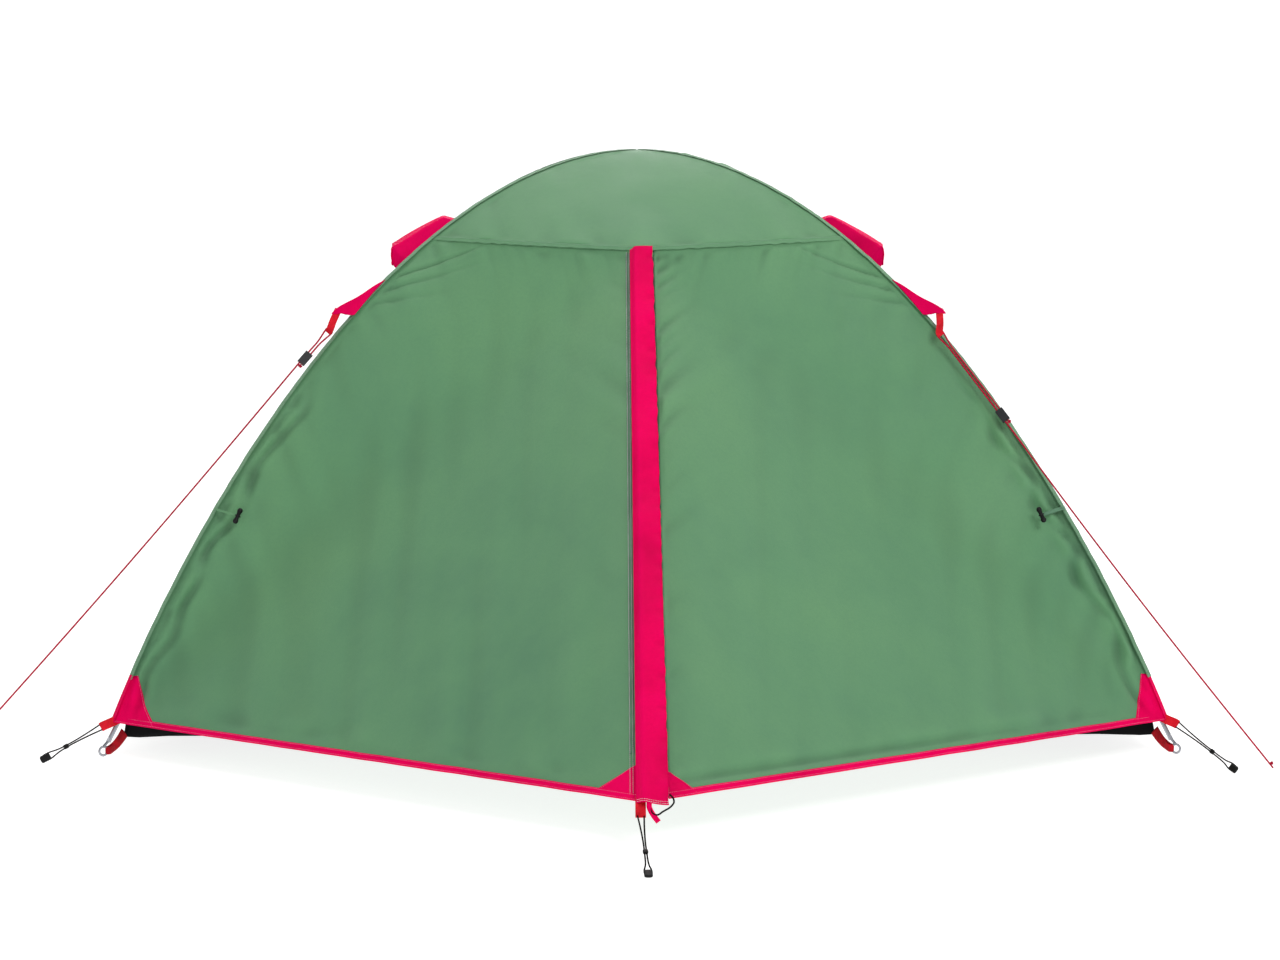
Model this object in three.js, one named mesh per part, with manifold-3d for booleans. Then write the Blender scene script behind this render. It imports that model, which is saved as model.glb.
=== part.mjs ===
// Two-pole dome tent with a flysheet, a front and a rear vestibule and an inner tent.
// Millimetres. +Z up. X runs along the sleeping length, -Y is the front vestibule.
// The origin is on the ground, under the crossing of the two poles.
import * as THREE from "three";
import { mergeVertices } from "three/addons/utils/BufferGeometryUtils.js";
import Module from "manifold-3d";

const wasm = await Module();
wasm.setup();

// ---------- driving dimensions ----------
const HALF_LENGTH = 1050; // flysheet corner, along X
const HALF_WIDTH = 700; // flysheet corner, along Y
const APEX = 1195; // top of the flysheet
const ARC_END = 1.0215; // where the flysheet's pole line would meet the ground, in shares of the corner
const ARC_A = 1.955; // roundness of the pole line
const ARC_B = 1.1268;
const BROW_T = 0.41; // the brow seam meets the pole line here
const BROW_CENTRE = [0, -470, 1000]; // top of the zip
const HEM_CENTRE = [0, -1460, 80]; // bottom of the zip, where the vestibule is pegged
const CORNER_Z = 70; // hem height at the corners
const CLOTH = 1.2; // thickness that stands for one layer of flysheet
const SEAM_GAP = 4; // clearance of a panel to the pole line
const POLE_R = 4.75; // 9.5 mm tube
const POLE_BORE = 3.85;
const POLE_INSET = 17; // pole centre below the flysheet
const POLE_CROSS = 12.5; // the lower pole drops by this at the crossing
const SECTIONS = 7; // tube sections of one pole
const ELASTIC_R = 1.4;
const GUY_R = 1.8;
const FLOOR_TOP = [1018, 672, 95];
const FLOOR_BOTTOM = [978, 585];
const FOOT_AT = 1.0045; // the lower end of a pole, in shares of the flysheet corner
const RING_AT = 1.0165; // the corner ring, in the same shares

// ---------- colours ----------
const green = (rough = 0.75) => new THREE.MeshStandardMaterial({ color: 0x5f9a70, roughness: rough, metalness: 0 });
const pink = () => new THREE.MeshStandardMaterial({ color: 0xe8106a, roughness: 0.7, metalness: 0 });
const red = () => new THREE.MeshStandardMaterial({ color: 0xc01838, roughness: 0.8, metalness: 0 });
const black = () => new THREE.MeshStandardMaterial({ color: 0x101010, roughness: 0.6, metalness: 0 });
const steel = () => new THREE.MeshStandardMaterial({ color: 0xb8bcc4, roughness: 0.3, metalness: 1 });
const alloy = () => new THREE.MeshStandardMaterial({ color: 0xa8adb5, roughness: 0.35, metalness: 0.9 });
const grey = () => new THREE.MeshStandardMaterial({ color: 0xcfd2cc, roughness: 0.85, metalness: 0 });
const white = () => new THREE.MeshStandardMaterial({ color: 0xe6e4de, roughness: 0.8, metalness: 0 });

const tent = new THREE.Group();
const V = (x, y, z) => new THREE.Vector3(x, y, z);
const lerp = (a, b, s) => a + (b - a) * s;
const mix = (a, b, s) => a.clone().lerp(b, s);

// ---------- solids ----------
function clean(geometry) {
  const g = geometry.clone();
  g.deleteAttribute("normal");
  g.deleteAttribute("uv");
  return mergeVertices(g, 1e-4);
}
function outward(geometry) {
  const g = geometry.index ? geometry : mergeVertices(geometry, 1e-4);
  const p = g.attributes.position;
  const ix = g.index.array;
  let volume = 0;
  const a = V(), b = V(), c = V();
  for (let i = 0; i < ix.length; i += 3) {
    a.fromBufferAttribute(p, ix[i]);
    b.fromBufferAttribute(p, ix[i + 1]);
    c.fromBufferAttribute(p, ix[i + 2]);
    volume += a.dot(b.cross(c)) / 6;
  }
  if (volume < 0) for (let i = 0; i < ix.length; i += 3) [ix[i + 1], ix[i + 2]] = [ix[i + 2], ix[i + 1]];
  return g;
}
function toManifold(geometry) {
  const g = outward(clean(geometry));
  return new wasm.Manifold(
    new wasm.Mesh({
      numProp: 3,
      vertProperties: new Float32Array(g.attributes.position.array),
      triVerts: new Uint32Array(g.index.array),
    }),
  );
}
function fromManifold(solid) {
  const m = solid.getMesh();
  const g = new THREE.BufferGeometry();
  g.setAttribute("position", new THREE.BufferAttribute(new Float32Array(m.vertProperties), 3));
  g.setIndex(new THREE.BufferAttribute(new Uint32Array(m.triVerts), 1));
  return g;
}
const union = (...parts) => fromManifold(parts.map(toManifold).reduce((a, b) => a.add(b)));
const cut = (part, ...tools) => fromManifold(tools.map(toManifold).reduce((a, b) => a.subtract(b), toManifold(part)));
const common = (a, b) => fromManifold(toManifold(a).intersect(toManifold(b)));

function add(name, geometry, material) {
  const mesh = new THREE.Mesh(outward(clean(geometry)), material);
  mesh.name = name;
  tent.add(mesh);
  return mesh;
}
// half a turn about Z carries a front piece to the rear
function turned(geometry) {
  return geometry.clone().rotateZ(Math.PI);
}
// mirror in the plane x = 0
function mirrored(geometry) {
  const g = clean(geometry);
  g.scale(-1, 1, 1);
  return outward(g);
}
// a sheet of cloth: surface(u, v) is its outer face, and the thickness lies under it
function sheet(surface, nu, nv, away, thickness = CLOTH) {
  const g = new THREE.BoxGeometry(1, 1, 1, nu, nv, 1);
  const p = g.attributes.position;
  const e = 1e-3;
  for (let i = 0; i < p.count; i++) {
    const u = p.getX(i) + 0.5;
    const v = p.getY(i) + 0.5;
    const w = p.getZ(i) + 0.5;
    const u0 = Math.max(0, u - e), u1 = Math.min(1, u + e);
    const v0 = Math.max(0, v - e), v1 = Math.min(1, v + e);
    const n = surface(u1, v).sub(surface(u0, v)).cross(surface(u, v1).sub(surface(u, v0))).normalize();
    if (n.dot(away) < 0) n.negate();
    const q = surface(u, v).addScaledVector(n, (w - 1) * thickness);
    p.setXYZ(i, q.x, q.y, q.z);
  }
  return g;
}
function ringPoints(radius, sides, turn = 0) {
  return Array.from({ length: sides }, (_, i) => {
    const a = turn + (2 * Math.PI * i) / sides;
    return new THREE.Vector2(radius * Math.cos(a), radius * Math.sin(a));
  });
}
function tube(points, radius, bore, sides, steps) {
  const shape = new THREE.Shape(ringPoints(radius, sides));
  if (bore > 0) shape.holes.push(new THREE.Path(ringPoints(bore, sides).reverse()));
  return new THREE.ExtrudeGeometry(shape, {
    steps,
    bevelEnabled: false,
    extrudePath: new THREE.CatmullRomCurve3(points, false, "centripetal"),
  });
}
function placed(geometry, origin, xAxis, yAxis, zAxis) {
  const m = new THREE.Matrix4().makeBasis(xAxis, yAxis, zAxis).setPosition(origin);
  return geometry.clone().applyMatrix4(m);
}

// ---------- the shape of the flysheet ----------
const heightAt = (t) => APEX * Math.pow(Math.max(0, 1 - Math.pow(Math.min(t / ARC_END, 1), ARC_A)), 1 / ARC_B);
const arc = (sx, sy, t) => V(sx * HALF_LENGTH * t, sy * HALF_WIDTH * t, heightAt(t));
const C = V(...BROW_CENTRE);
const D = V(...HEM_CENTRE);
const BL = V(-HALF_LENGTH, -HALF_WIDTH, CORNER_Z);
const EL = arc(-1, -1, BROW_T);

// brow: from the crossing down to the brow seam
function browSurface(u, v) {
  const t = lerp(0.014, BROW_T - 0.004, v);
  const half = HALF_LENGTH * t;
  const s = lerp(-1, 1, u) * (1 - SEAM_GAP / Math.max(half, 12));
  const k = t / BROW_T;
  const bend = 1 - Math.pow(Math.abs(s), lerp(2, 1.15, k));
  const yEdge = -HALF_WIDTH * t;
  const yMid = lerp(0, C.y, k);
  const zEdge = heightAt(t);
  const zMid = APEX - (APEX - C.z) * Math.pow(k, 1.6);
  return V(s * half, lerp(yEdge, yMid, bend), lerp(zEdge, zMid, bend));
}
// side: between the front and the rear pole line, drawn in a little
function sideSurface(u, v) {
  const t = lerp(0.014, 1, v);
  const half = HALF_WIDTH * t;
  const s = lerp(-1, 1, u) * (1 - SEAM_GAP / Math.max(half, 9));
  const sag = 14 * (1 - s * s) * t;
  return V(-HALF_LENGTH * t + sag, s * half, heightAt(t) - 0.5 * sag);
}
// the fixed part of a front half: between the fold line C-BL and the brow seam and pole line
const SEAM_SHARE = 0.3;
function fixedSurface(u, v) {
  const q = lerp(0.03, 0.985, u);
  const a = mix(C, BL, q);
  const b = q < SEAM_SHARE
    ? mix(C, EL, q / SEAM_SHARE)
    : arc(-1, -1, lerp(BROW_T, 1, (q - SEAM_SHARE) / (1 - SEAM_SHARE)));
  const w = a.distanceTo(b);
  const m = Math.min(0.4, SEAM_GAP / Math.max(w, 1));
  return mix(a, b, lerp(m * 0.8, 1 - m, v));
}
// the door leaf: the flat triangle C-D-BL, hinged on C-BL; zipEdge is its offset from the zip line in X
function doorSurface(topX, bottomX) {
  return (u, v) => {
    const q = lerp(0.016, 1, v);
    const edge = mix(C, D, q);
    const share = Math.abs(lerp(topX, bottomX, q)) / HALF_LENGTH;
    const tip = mix(BL, D, 0.004);
    return mix(edge, tip, lerp(share, 0.975, u));
  };
}
const FRONT = V(0, -1, 0.6);
const TOP = V(0, 0, 1);

add("front_brow_panel", sheet(browSurface, 10, 6, TOP), green());
add("rear_brow_panel", turned(sheet(browSurface, 10, 6, TOP)), green());
add("left_side_panel", sheet(sideSurface, 6, 12, V(-1, 0, 0.5)), green());
add("right_side_panel", mirrored(sheet(sideSurface, 6, 12, V(-1, 0, 0.5))), green());
const fixedPanel = sheet(fixedSurface, 13, 3, V(-1, -1, 0.6));
add("front_left_panel", fixedPanel, green());
add("front_right_panel", mirrored(fixedPanel), green());
add("rear_right_panel", turned(fixedPanel), green());
add("rear_left_panel", turned(mirrored(fixedPanel)), green());
const doorZipSide = sheet(doorSurface(-2, -2), 6, 4, FRONT);
const doorFreeSide = sheet(doorSurface(-29, -43), 6, 4, FRONT);
add("front_left_door", doorZipSide, green());
add("front_right_door", mirrored(doorFreeSide), green());
add("rear_right_door", turned(doorZipSide), green());
add("rear_left_door", turned(mirrored(doorFreeSide)), green());

// ---------- storm flap over the zip, sewn to the left leaf ----------
const zipDir = D.clone().sub(C).normalize();
const ridgeOut = V(0, zipDir.z, -zipDir.y).normalize(); // square to the zip, away from the tent
if (ridgeOut.y > 0) ridgeOut.negate();
const ZIP_LENGTH = D.distanceTo(C);
function flapSurface(u, v) {
  const q = lerp(0.035, 1.008, v);
  const p = C.clone().addScaledVector(zipDir, q * ZIP_LENGTH).addScaledVector(ridgeOut, 13);
  const x = lerp(lerp(-20, -16, q), lerp(26, 40, q), u);
  return p.add(V(x, 0, 0)).addScaledVector(ridgeOut, -0.00006 * (x - 8) * (x - 8) * 40);
}
const flap = sheet(flapSurface, 4, 6, FRONT, 1.5);
add("front_storm_flap", flap, pink());
add("rear_storm_flap", turned(flap), pink());

// ---------- zip slider with its pull tab, near the hem when the zip is shut ----------
const SLIDER_AT = ZIP_LENGTH - 32;
function zipSlider() {
  const body = new THREE.BoxGeometry(9, 12, 4.2);
  const bridge = new THREE.BoxGeometry(3, 8, 2.4).translate(0, 0, 3);
  const tab = new THREE.BoxGeometry(6, 20, 1.6).translate(0, 11, 4.2);
  return placed(
    union(body, bridge, tab),
    C.clone().addScaledVector(zipDir, SLIDER_AT).addScaledVector(ridgeOut, 4.6).add(V(-4, 0, 0)),
    V(1, 0, 0), zipDir, V(1, 0, 0).cross(zipDir),
  );
}
const slider = zipSlider();
add("front_zip_slider", slider, steel());
add("rear_zip_slider", turned(slider), steel());

// ---------- vent hoods on the sides ----------
const HOOD_TOP = V(-402, 0, 1062);
const HOOD_BRIM = V(-532, 0, 993);
function hoodSurface(u, v) {
  const s = lerp(-1, 1, u);
  const lip = v > 0.8 ? (v - 0.8) / 0.2 : 0;
  const k = Math.min(v / 0.8, 1);
  const half = lerp(34, 150, k);
  const x = lerp(HOOD_TOP.x, HOOD_BRIM.x, k) + 8 * Math.abs(s) ** 2.2 * k;
  const z = lerp(HOOD_TOP.z, HOOD_BRIM.z, k) - 4 * Math.abs(s) ** 2.2 * k;
  return V(x - 1 * lip, s * half, z - 38 * lip);
}
const hood = sheet(hoodSurface, 8, 5, V(-1, 0, 1), 2);
add("left_vent_hood", hood, pink());
add("right_vent_hood", turned(hood), pink());

// ---------- poles ----------
const DIAGONAL = Math.hypot(HALF_LENGTH, HALF_WIDTH);
function poleCentre(sx, sy, t, lower) {
  const e = 1e-3;
  const dr = DIAGONAL * 2 * e;
  const dz = heightAt(t + e) - heightAt(Math.max(0, t - e));
  const n = t < 0.002 ? [0, 1] : [-dz / Math.hypot(dr, dz), dr / Math.hypot(dr, dz)];
  const inset = POLE_INSET + (lower ? POLE_CROSS * Math.exp(-((t / 0.18) ** 2)) : 0);
  const r = DIAGONAL * t - n[0] * inset;
  return V((sx * r * HALF_LENGTH) / DIAGONAL, (sy * r * HALF_WIDTH) / DIAGONAL, heightAt(t) - n[1] * inset);
}
// the pole's last stretch runs straight down to the ring
function polePoints(sx, sy, lower) {
  const pts = [];
  const ts = [0.06, 0.12, 0.2, 0.28, 0.36, 0.44, 0.52, 0.6, 0.68, 0.76, 0.84, 0.91, 0.95, 0.98];
  const half = (ax, ay) => ts.map((t) => poleCentre(ax, ay, t, lower));
  const foot = (ax, ay) => V(ax * HALF_LENGTH * FOOT_AT, ay * HALF_WIDTH * FOOT_AT, 38);
  pts.push(foot(sx, sy), ...half(sx, sy).reverse(), poleCentre(sx, sy, 0, lower), ...half(-sx, -sy), foot(-sx, -sy));
  return pts;
}
// a turned profile of [radius, distance] pairs, bent along a plane curve
function bent(profile, curve, sides, across) {
  const length = curve.getLength();
  const g = clean(new THREE.LatheGeometry(profile.map(([r, d]) => new THREE.Vector2(r, d)), sides));
  const p = g.attributes.position;
  for (let i = 0; i < p.count; i++) {
    const share = Math.min(1, Math.max(0, p.getY(i) / length));
    const tangent = curve.getTangentAt(share);
    const q = curve.getPointAt(share)
      .addScaledVector(across, p.getX(i))
      .addScaledVector(tangent.clone().cross(across), p.getZ(i));
    p.setXYZ(i, q.x, q.y, q.z);
  }
  return g;
}
const SPIGOT = 36; // a ferrule's length beyond the end of its section, and about its glued length
function buildPole(letter, sx, sy, lower) {
  const curve = new THREE.CatmullRomCurve3(polePoints(sx, sy, lower), false, "centripetal");
  curve.arcLengthDivisions = 3000;
  const across = V(-sy * HALF_WIDTH, sx * HALF_LENGTH, 0).normalize();
  const length = curve.getLength();
  const each = length / SECTIONS;
  const stations = [];
  for (let i = 0; i < SECTIONS; i++) {
    const a = i * each + (i ? 0.4 : 0);
    const b = (i + 1) * each - (i < SECTIONS - 1 ? 0.4 : 0);
    const last = i === SECTIONS - 1;
    const at = [a, a + SPIGOT + 4, lerp(a, b, 0.36), lerp(a, b, 0.64), b - SPIGOT, b];
    stations.push(...at);
    const profile = at.map((d) => [POLE_R, d]);
    if (!last) profile.push([POLE_BORE - 0.5, b], [POLE_BORE - 0.5, b + SPIGOT], [2.3, b + SPIGOT], [2.3, b - SPIGOT]);
    for (const d of at.slice(0, last ? 6 : 5).reverse()) profile.push([POLE_BORE, d]);
    profile.push([POLE_R, a]);
    add(`pole_${letter}_section_${i + 1}`, bent(profile, curve, 8, across), alloy());
  }
  const inside = stations.filter((d) => d > 38 && d < length - 35);
  const cord = [[0, inside[0]], ...inside.map((d) => [1.3, d]), [0, inside[inside.length - 1]]];
  add(`pole_${letter}_shock_cord`, bent(cord, curve, 8, across), white());
}
buildPole("a", -1, -1, false);
buildPole("b", 1, -1, true);

// ---------- corner pins: a pin up the pole's end, on a ring that the floor strap holds ----------
const FOOT = V(-HALF_LENGTH * FOOT_AT, -HALF_WIDTH * FOOT_AT, 38);
const outDir = V(-HALF_LENGTH, -HALF_WIDTH, 0).normalize();
const footUp = (() => {
  const c = new THREE.CatmullRomCurve3(polePoints(-1, -1, false), false, "centripetal");
  return c.getPointAt(0.01).sub(c.getPointAt(0)).normalize();
})();
const RING = V(-HALF_LENGTH * RING_AT, -HALF_WIDTH * RING_AT, 13);
function cornerPin() {
  const profile = ringPoints(2.5, 6).map((p) => new THREE.Vector2(9 + p.x, p.y));
  profile.push(profile[0].clone());
  const ring = placed(new THREE.LatheGeometry(profile, 12), RING, outDir, V(0, 0, 1).cross(outDir), V(0, 0, 1));
  const low = RING.clone().add(V(0, 0, 8.5));
  const pin = tube([low, FOOT.clone().addScaledVector(footUp, -4), FOOT.clone().addScaledVector(footUp, 24)], 3.2, 0, 6, 3);
  const collar = tube([FOOT.clone().addScaledVector(footUp, -9), FOOT.clone().addScaledVector(footUp, -0.5)], 4.6, 0, 8, 1);
  return union(ring, pin, collar);
}
const pin = cornerPin();
add("corner_pin_front_left", pin, steel());
add("corner_pin_front_right", mirrored(pin), steel());
add("corner_pin_rear_right", turned(pin), steel());
add("corner_pin_rear_left", turned(mirrored(pin)), steel());

// ---------- floor tray and its corner straps ----------
function frustum(top, bottom, z0, z1) {
  const g = new THREE.BoxGeometry(2, 2, 1);
  const p = g.attributes.position;
  for (let i = 0; i < p.count; i++) {
    const up = p.getZ(i) > 0;
    const h = up ? top : bottom;
    p.setXYZ(i, p.getX(i) * h[0], p.getY(i) * h[1], up ? z1 : z0);
  }
  return g;
}
const tray = cut(
  frustum(FLOOR_TOP, FLOOR_BOTTOM, 0, FLOOR_TOP[2]),
  frustum([FLOOR_TOP[0] - 1.5, FLOOR_TOP[1] - 1.5], [FLOOR_BOTTOM[0] - 2, FLOOR_BOTTOM[1] - 2], 1.5, FLOOR_TOP[2] + 1),
);
add("floor_tray", tray, black());
const STRAP_Z = 52; // height of the strap on the tray's corner
function floorStrap() {
  const up = STRAP_Z / FLOOR_TOP[2];
  const a = V(-lerp(FLOOR_BOTTOM[0], FLOOR_TOP[0], up), -lerp(FLOOR_BOTTOM[1], FLOOR_TOP[1], up), STRAP_Z).addScaledVector(outDir, 9);
  const b = RING.clone().addScaledVector(outDir, -16);
  return sheet((u, v) => {
    const p = mix(a, b, u);
    p.z += -6 * Math.sin(Math.PI * u) + lerp(-9, 9, v);
    return p;
  }, 5, 1, outDir.clone().cross(V(0, 0, 1)), 1.8);
}
const strap = floorStrap();
add("floor_strap_front_left", strap, red());
add("floor_strap_front_right", mirrored(strap), red());
add("floor_strap_rear_right", turned(strap), red());
add("floor_strap_rear_left", turned(mirrored(strap)), red());

// ---------- inner tent: a dome on the tray with a door at the front and the rear ----------
const INNER_DROP = 48;
const INNER_X = 0.962 * HALF_LENGTH;
const INNER_Y = 0.93 * HALF_WIDTH;
const INNER_T = 0.985;
function innerDome() {
  const outer = [], inner = [];
  const n = 8;
  const zOut = (t) => {
    const drop = heightAt(t) - INNER_DROP;
    return Math.max(drop, FLOOR_TOP[2] + 0.6);
  };
  const tEnd = (() => {
    let t = INNER_T;
    while (heightAt(t) - INNER_DROP < FLOOR_TOP[2] + 0.6) t -= 0.0005;
    return t;
  })();
  for (let i = 0; i <= n; i++) {
    const t = tEnd * Math.sin((Math.PI / 2) * (i / n));
    outer.push(new THREE.Vector2(t, i === n ? FLOOR_TOP[2] + 0.6 : zOut(t)));
    inner.push(new THREE.Vector2(Math.max(0, t - 0.0015 * (i ? 1 : 0)), (i === n ? FLOOR_TOP[2] + 0.6 : zOut(t) - 1.4)));
  }
  const g = clean(new THREE.LatheGeometry([...outer, ...inner.reverse()], 28)).rotateX(Math.PI / 2);
  const p = g.attributes.position;
  for (let i = 0; i < p.count; i++) {
    const x = p.getX(i), y = p.getY(i);
    const t = Math.hypot(x, y);
    if (t < 1e-6) continue;
    const c = x / t, s = y / t;
    const m = Math.pow(Math.pow(Math.abs(c), 7) + Math.pow(Math.abs(s), 7), -1 / 7);
    p.setXY(i, c * m * t * INNER_X, s * m * t * INNER_Y);
  }
  return outward(mergeVertices(g, 1e-4));
}
const dome = innerDome();
const DOOR_HALF = 330, DOOR_LOW = 165, DOOR_HIGH = 770;
const doorBlock = (g) => new THREE.BoxGeometry(2 * (DOOR_HALF - g), 560, DOOR_HIGH - DOOR_LOW - 2 * g)
  .translate(0, -560, (DOOR_HIGH + DOOR_LOW) / 2);
add("inner_canopy", cut(dome, doorBlock(0), turned(doorBlock(0))), grey());
const innerDoor = common(dome, doorBlock(4));
add("inner_front_door", innerDoor, grey());
add("inner_rear_door", turned(innerDoor), grey());

// ---------- guy points on the front pole lines ----------
const GUY_TIP = V(-628, -418, 868);
function guyGusset() {
  const a = arc(-1, -1, 0.502).addScaledVector(V(-0.55, -0.36, 0.75), 3);
  const b = arc(-1, -1, 0.575).addScaledVector(V(-0.6, -0.4, 0.7), 3);
  const across = outDir.clone().cross(V(0, 0, 1));
  return sheet((u, v) => {
    const edge = mix(a, b, u);
    return mix(edge, GUY_TIP, lerp(0, 0.9, v)).addScaledVector(across, 0);
  }, 2, 3, across, 4);
}
const gusset = guyGusset();
add("guy_gusset_front_left", gusset, pink());
add("guy_gusset_front_right", mirrored(gusset), pink());

// ---------- guy lines: from the slider up to the webbing, round, and back down through it to the ground ----------
const GUY_LOOP = { left: V(-631, -436, 834), right: V(613, -440, 828) };
const GUY_GROUND = { left: V(-1352, -896, 2.6), right: V(1232, -846, 2.6) };
const GUY_DOUBLE = { left: 84, right: 222 };
function guyRoute(side) {
  const tip = GUY_LOOP[side];
  const ground = GUY_GROUND[side];
  const dir = ground.clone().sub(tip).normalize();
  const across = dir.clone().cross(V(0, 1, 0)).normalize();
  const at = (d, o) => tip.clone().addScaledVector(dir, d).addScaledVector(across, o);
  const double = GUY_DOUBLE[side];
  const length = ground.distanceTo(tip);
  const w = 3; // half the gap between the strands
  const r = 7.4; // turn round the webbing
  const points = [at(double + 15, w), at(double * 0.8, w), at(lerp(42, double, 0.4), w), at(40, w), at(26, 4.6)];
  for (const a of [20, 60, 90, 120, 160]) {
    const q = (a * Math.PI) / 180;
    points.push(at(9 - r * Math.sin(q) * 1.15, r * Math.cos(q)));
  }
  points.push(at(26, -4.6), at(40, -w), at(lerp(42, double, 0.4), -w), at(double * 0.8, -w), at(double + 18, -w));
  for (const s of [0.1, 0.25, 0.4, 0.55, 0.7, 0.85, 1]) {
    const p = at(lerp(double + 18, length, s), -w * (1 - s));
    p.z -= 9 * Math.sin(Math.PI * s);
    points.push(p);
  }
  return { points, dir, across, tip, double };
}
for (const side of ["left", "right"]) {
  const route = guyRoute(side);
  add(`guy_line_front_${side}`, tube(route.points, GUY_R, 0, 8, 44), pink());
  // slider: a flat plate with both strands through its slot
  const centre = route.tip.clone().addScaledVector(route.dir, route.double);
  const body = cut(new THREE.BoxGeometry(28, 17, 8), new THREE.BoxGeometry(60, 10.6, 4.8));
  add(`guy_slider_front_${side}`, placed(body, centre, route.dir, route.across, route.dir.clone().cross(route.across)), black());
}

// ---------- peg elastics: a loop from the webbing at the hem to the ground and back ----------
function loopRoute(from, to, spread, side) {
  const dir = to.clone().sub(from).normalize();
  const across = dir.clone().cross(side).normalize();
  const length = to.distanceTo(from);
  const at = (d, o) => from.clone().addScaledVector(dir, d).addScaledVector(across, o);
  const r = 5.7;
  const points = [at(0, spread), at(length * 0.3, lerp(spread, r, 0.35)), at(length * 0.6, lerp(spread, r, 0.7)), at(length - 16, r)];
  for (const a of [0, 35, 70, 110, 145, 180]) {
    const q = (a * Math.PI) / 180;
    points.push(at(length - 6 + r * Math.sin(q) * 0.98, r * Math.cos(q)));
  }
  points.push(at(length - 16, -r), at(length * 0.6, -lerp(spread, r, 0.7)), at(length * 0.3, -lerp(spread, r, 0.35)), at(0, -spread));
  return points;
}
const elastic = (from, to, side) => tube(loopRoute(from, to, 6, side), ELASTIC_R, 0, 8, 18);
const cornerElastic = (sx, sy, to) => elastic(V(sx * (HALF_LENGTH + 16), sy * (HALF_WIDTH + 10), 64), to, V(0, 1, 0));
add("peg_elastic_front_left", cornerElastic(-1, -1, V(-1178, -762, 7.5)), black());
add("peg_elastic_front_right", cornerElastic(1, -1, V(1150, -882, 7.5)), black());
add("peg_elastic_rear_left", cornerElastic(-1, 1, V(-1150, 882, 7.5)), black());
add("peg_elastic_rear_right", cornerElastic(1, 1, V(1178, 762, 7.5)), black());
const centreElastic = elastic(V(-9, HEM_CENTRE[1] - 20, 62), V(2, -1672, 4), V(0, 0, 1));
add("peg_elastic_front_centre", centreElastic, black());
add("peg_elastic_rear_centre", turned(centreElastic), black());

// ---------- toggles that hold the rolled door leaf ----------
function toggle() {
  const at = arc(-1, -1, 0.816);
  const n = V(-0.52, -0.68, 0.52).normalize();
  const centre = V(-801, -594, 463).addScaledVector(n, 12);
  const end = at.clone().addScaledVector(n, 8);
  const dir = centre.clone().sub(end).normalize();
  const side = dir.clone().cross(n).normalize();
  const up = side.clone().cross(dir);
  const bar = placed(new THREE.LatheGeometry([
    [0, -17], [4, -15.5], [5.4, -11], [4, -4], [4, 4], [5.4, 11], [4, 15.5], [0, 17],
  ].map(([x, y]) => new THREE.Vector2(x, y)), 10), centre, dir, side, dir.clone().cross(side));
  const strapLength = centre.distanceTo(end);
  const strip = placed(new THREE.BoxGeometry(strapLength - 4, 8, 1.6).translate(-strapLength / 2, 0, 0), centre, dir, side, dir.clone().cross(side));
  return union(bar, strip);
}
const toggleSolid = toggle();
add("front_left_toggle", toggleSolid, black());
add("front_right_toggle", mirrored(toggleSolid), black());

export default tent;
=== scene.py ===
import json
import math

import bmesh
import bpy
import numpy as np
from mathutils import Matrix, Vector
from mathutils.bvhtree import BVHTree


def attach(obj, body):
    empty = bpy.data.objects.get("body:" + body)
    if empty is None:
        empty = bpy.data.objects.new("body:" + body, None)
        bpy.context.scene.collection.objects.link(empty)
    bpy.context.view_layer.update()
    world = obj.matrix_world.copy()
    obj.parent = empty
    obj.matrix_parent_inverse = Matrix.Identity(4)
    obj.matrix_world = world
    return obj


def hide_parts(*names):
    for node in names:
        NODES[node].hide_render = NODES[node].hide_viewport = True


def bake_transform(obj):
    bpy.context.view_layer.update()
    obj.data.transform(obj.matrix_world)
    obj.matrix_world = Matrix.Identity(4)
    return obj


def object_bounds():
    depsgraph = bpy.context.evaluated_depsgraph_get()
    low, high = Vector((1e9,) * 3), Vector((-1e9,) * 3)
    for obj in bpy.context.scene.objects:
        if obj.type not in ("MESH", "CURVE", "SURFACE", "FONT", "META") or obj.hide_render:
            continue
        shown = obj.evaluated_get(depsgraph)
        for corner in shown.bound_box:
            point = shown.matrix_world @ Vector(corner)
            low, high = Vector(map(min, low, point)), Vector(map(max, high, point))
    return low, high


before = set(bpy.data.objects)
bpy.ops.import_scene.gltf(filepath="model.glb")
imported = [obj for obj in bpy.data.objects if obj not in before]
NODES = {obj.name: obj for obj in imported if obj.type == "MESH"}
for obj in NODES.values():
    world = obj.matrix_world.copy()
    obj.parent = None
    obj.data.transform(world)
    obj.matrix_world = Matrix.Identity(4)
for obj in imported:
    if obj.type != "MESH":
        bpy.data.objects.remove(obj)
cad_lo, cad_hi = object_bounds()
SCENE = bpy.context.scene

# ------------------------------------------------------------------ camera
cam_data = bpy.data.cameras.new("camera")
cam_data.sensor_fit = "HORIZONTAL"
cam_data.sensor_width = 36.0
cam_data.lens = 83.28
cam_data.clip_start, cam_data.clip_end = 0.1, 200.0
camera = bpy.data.objects.new("camera", cam_data)
camera.location = (-0.06657, -6.5, 1.24422)
camera.rotation_euler = (math.radians(90 - 6.8015), 0.0, math.radians(-0.6437))
SCENE.collection.objects.link(camera)
SCENE.camera = camera

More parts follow.
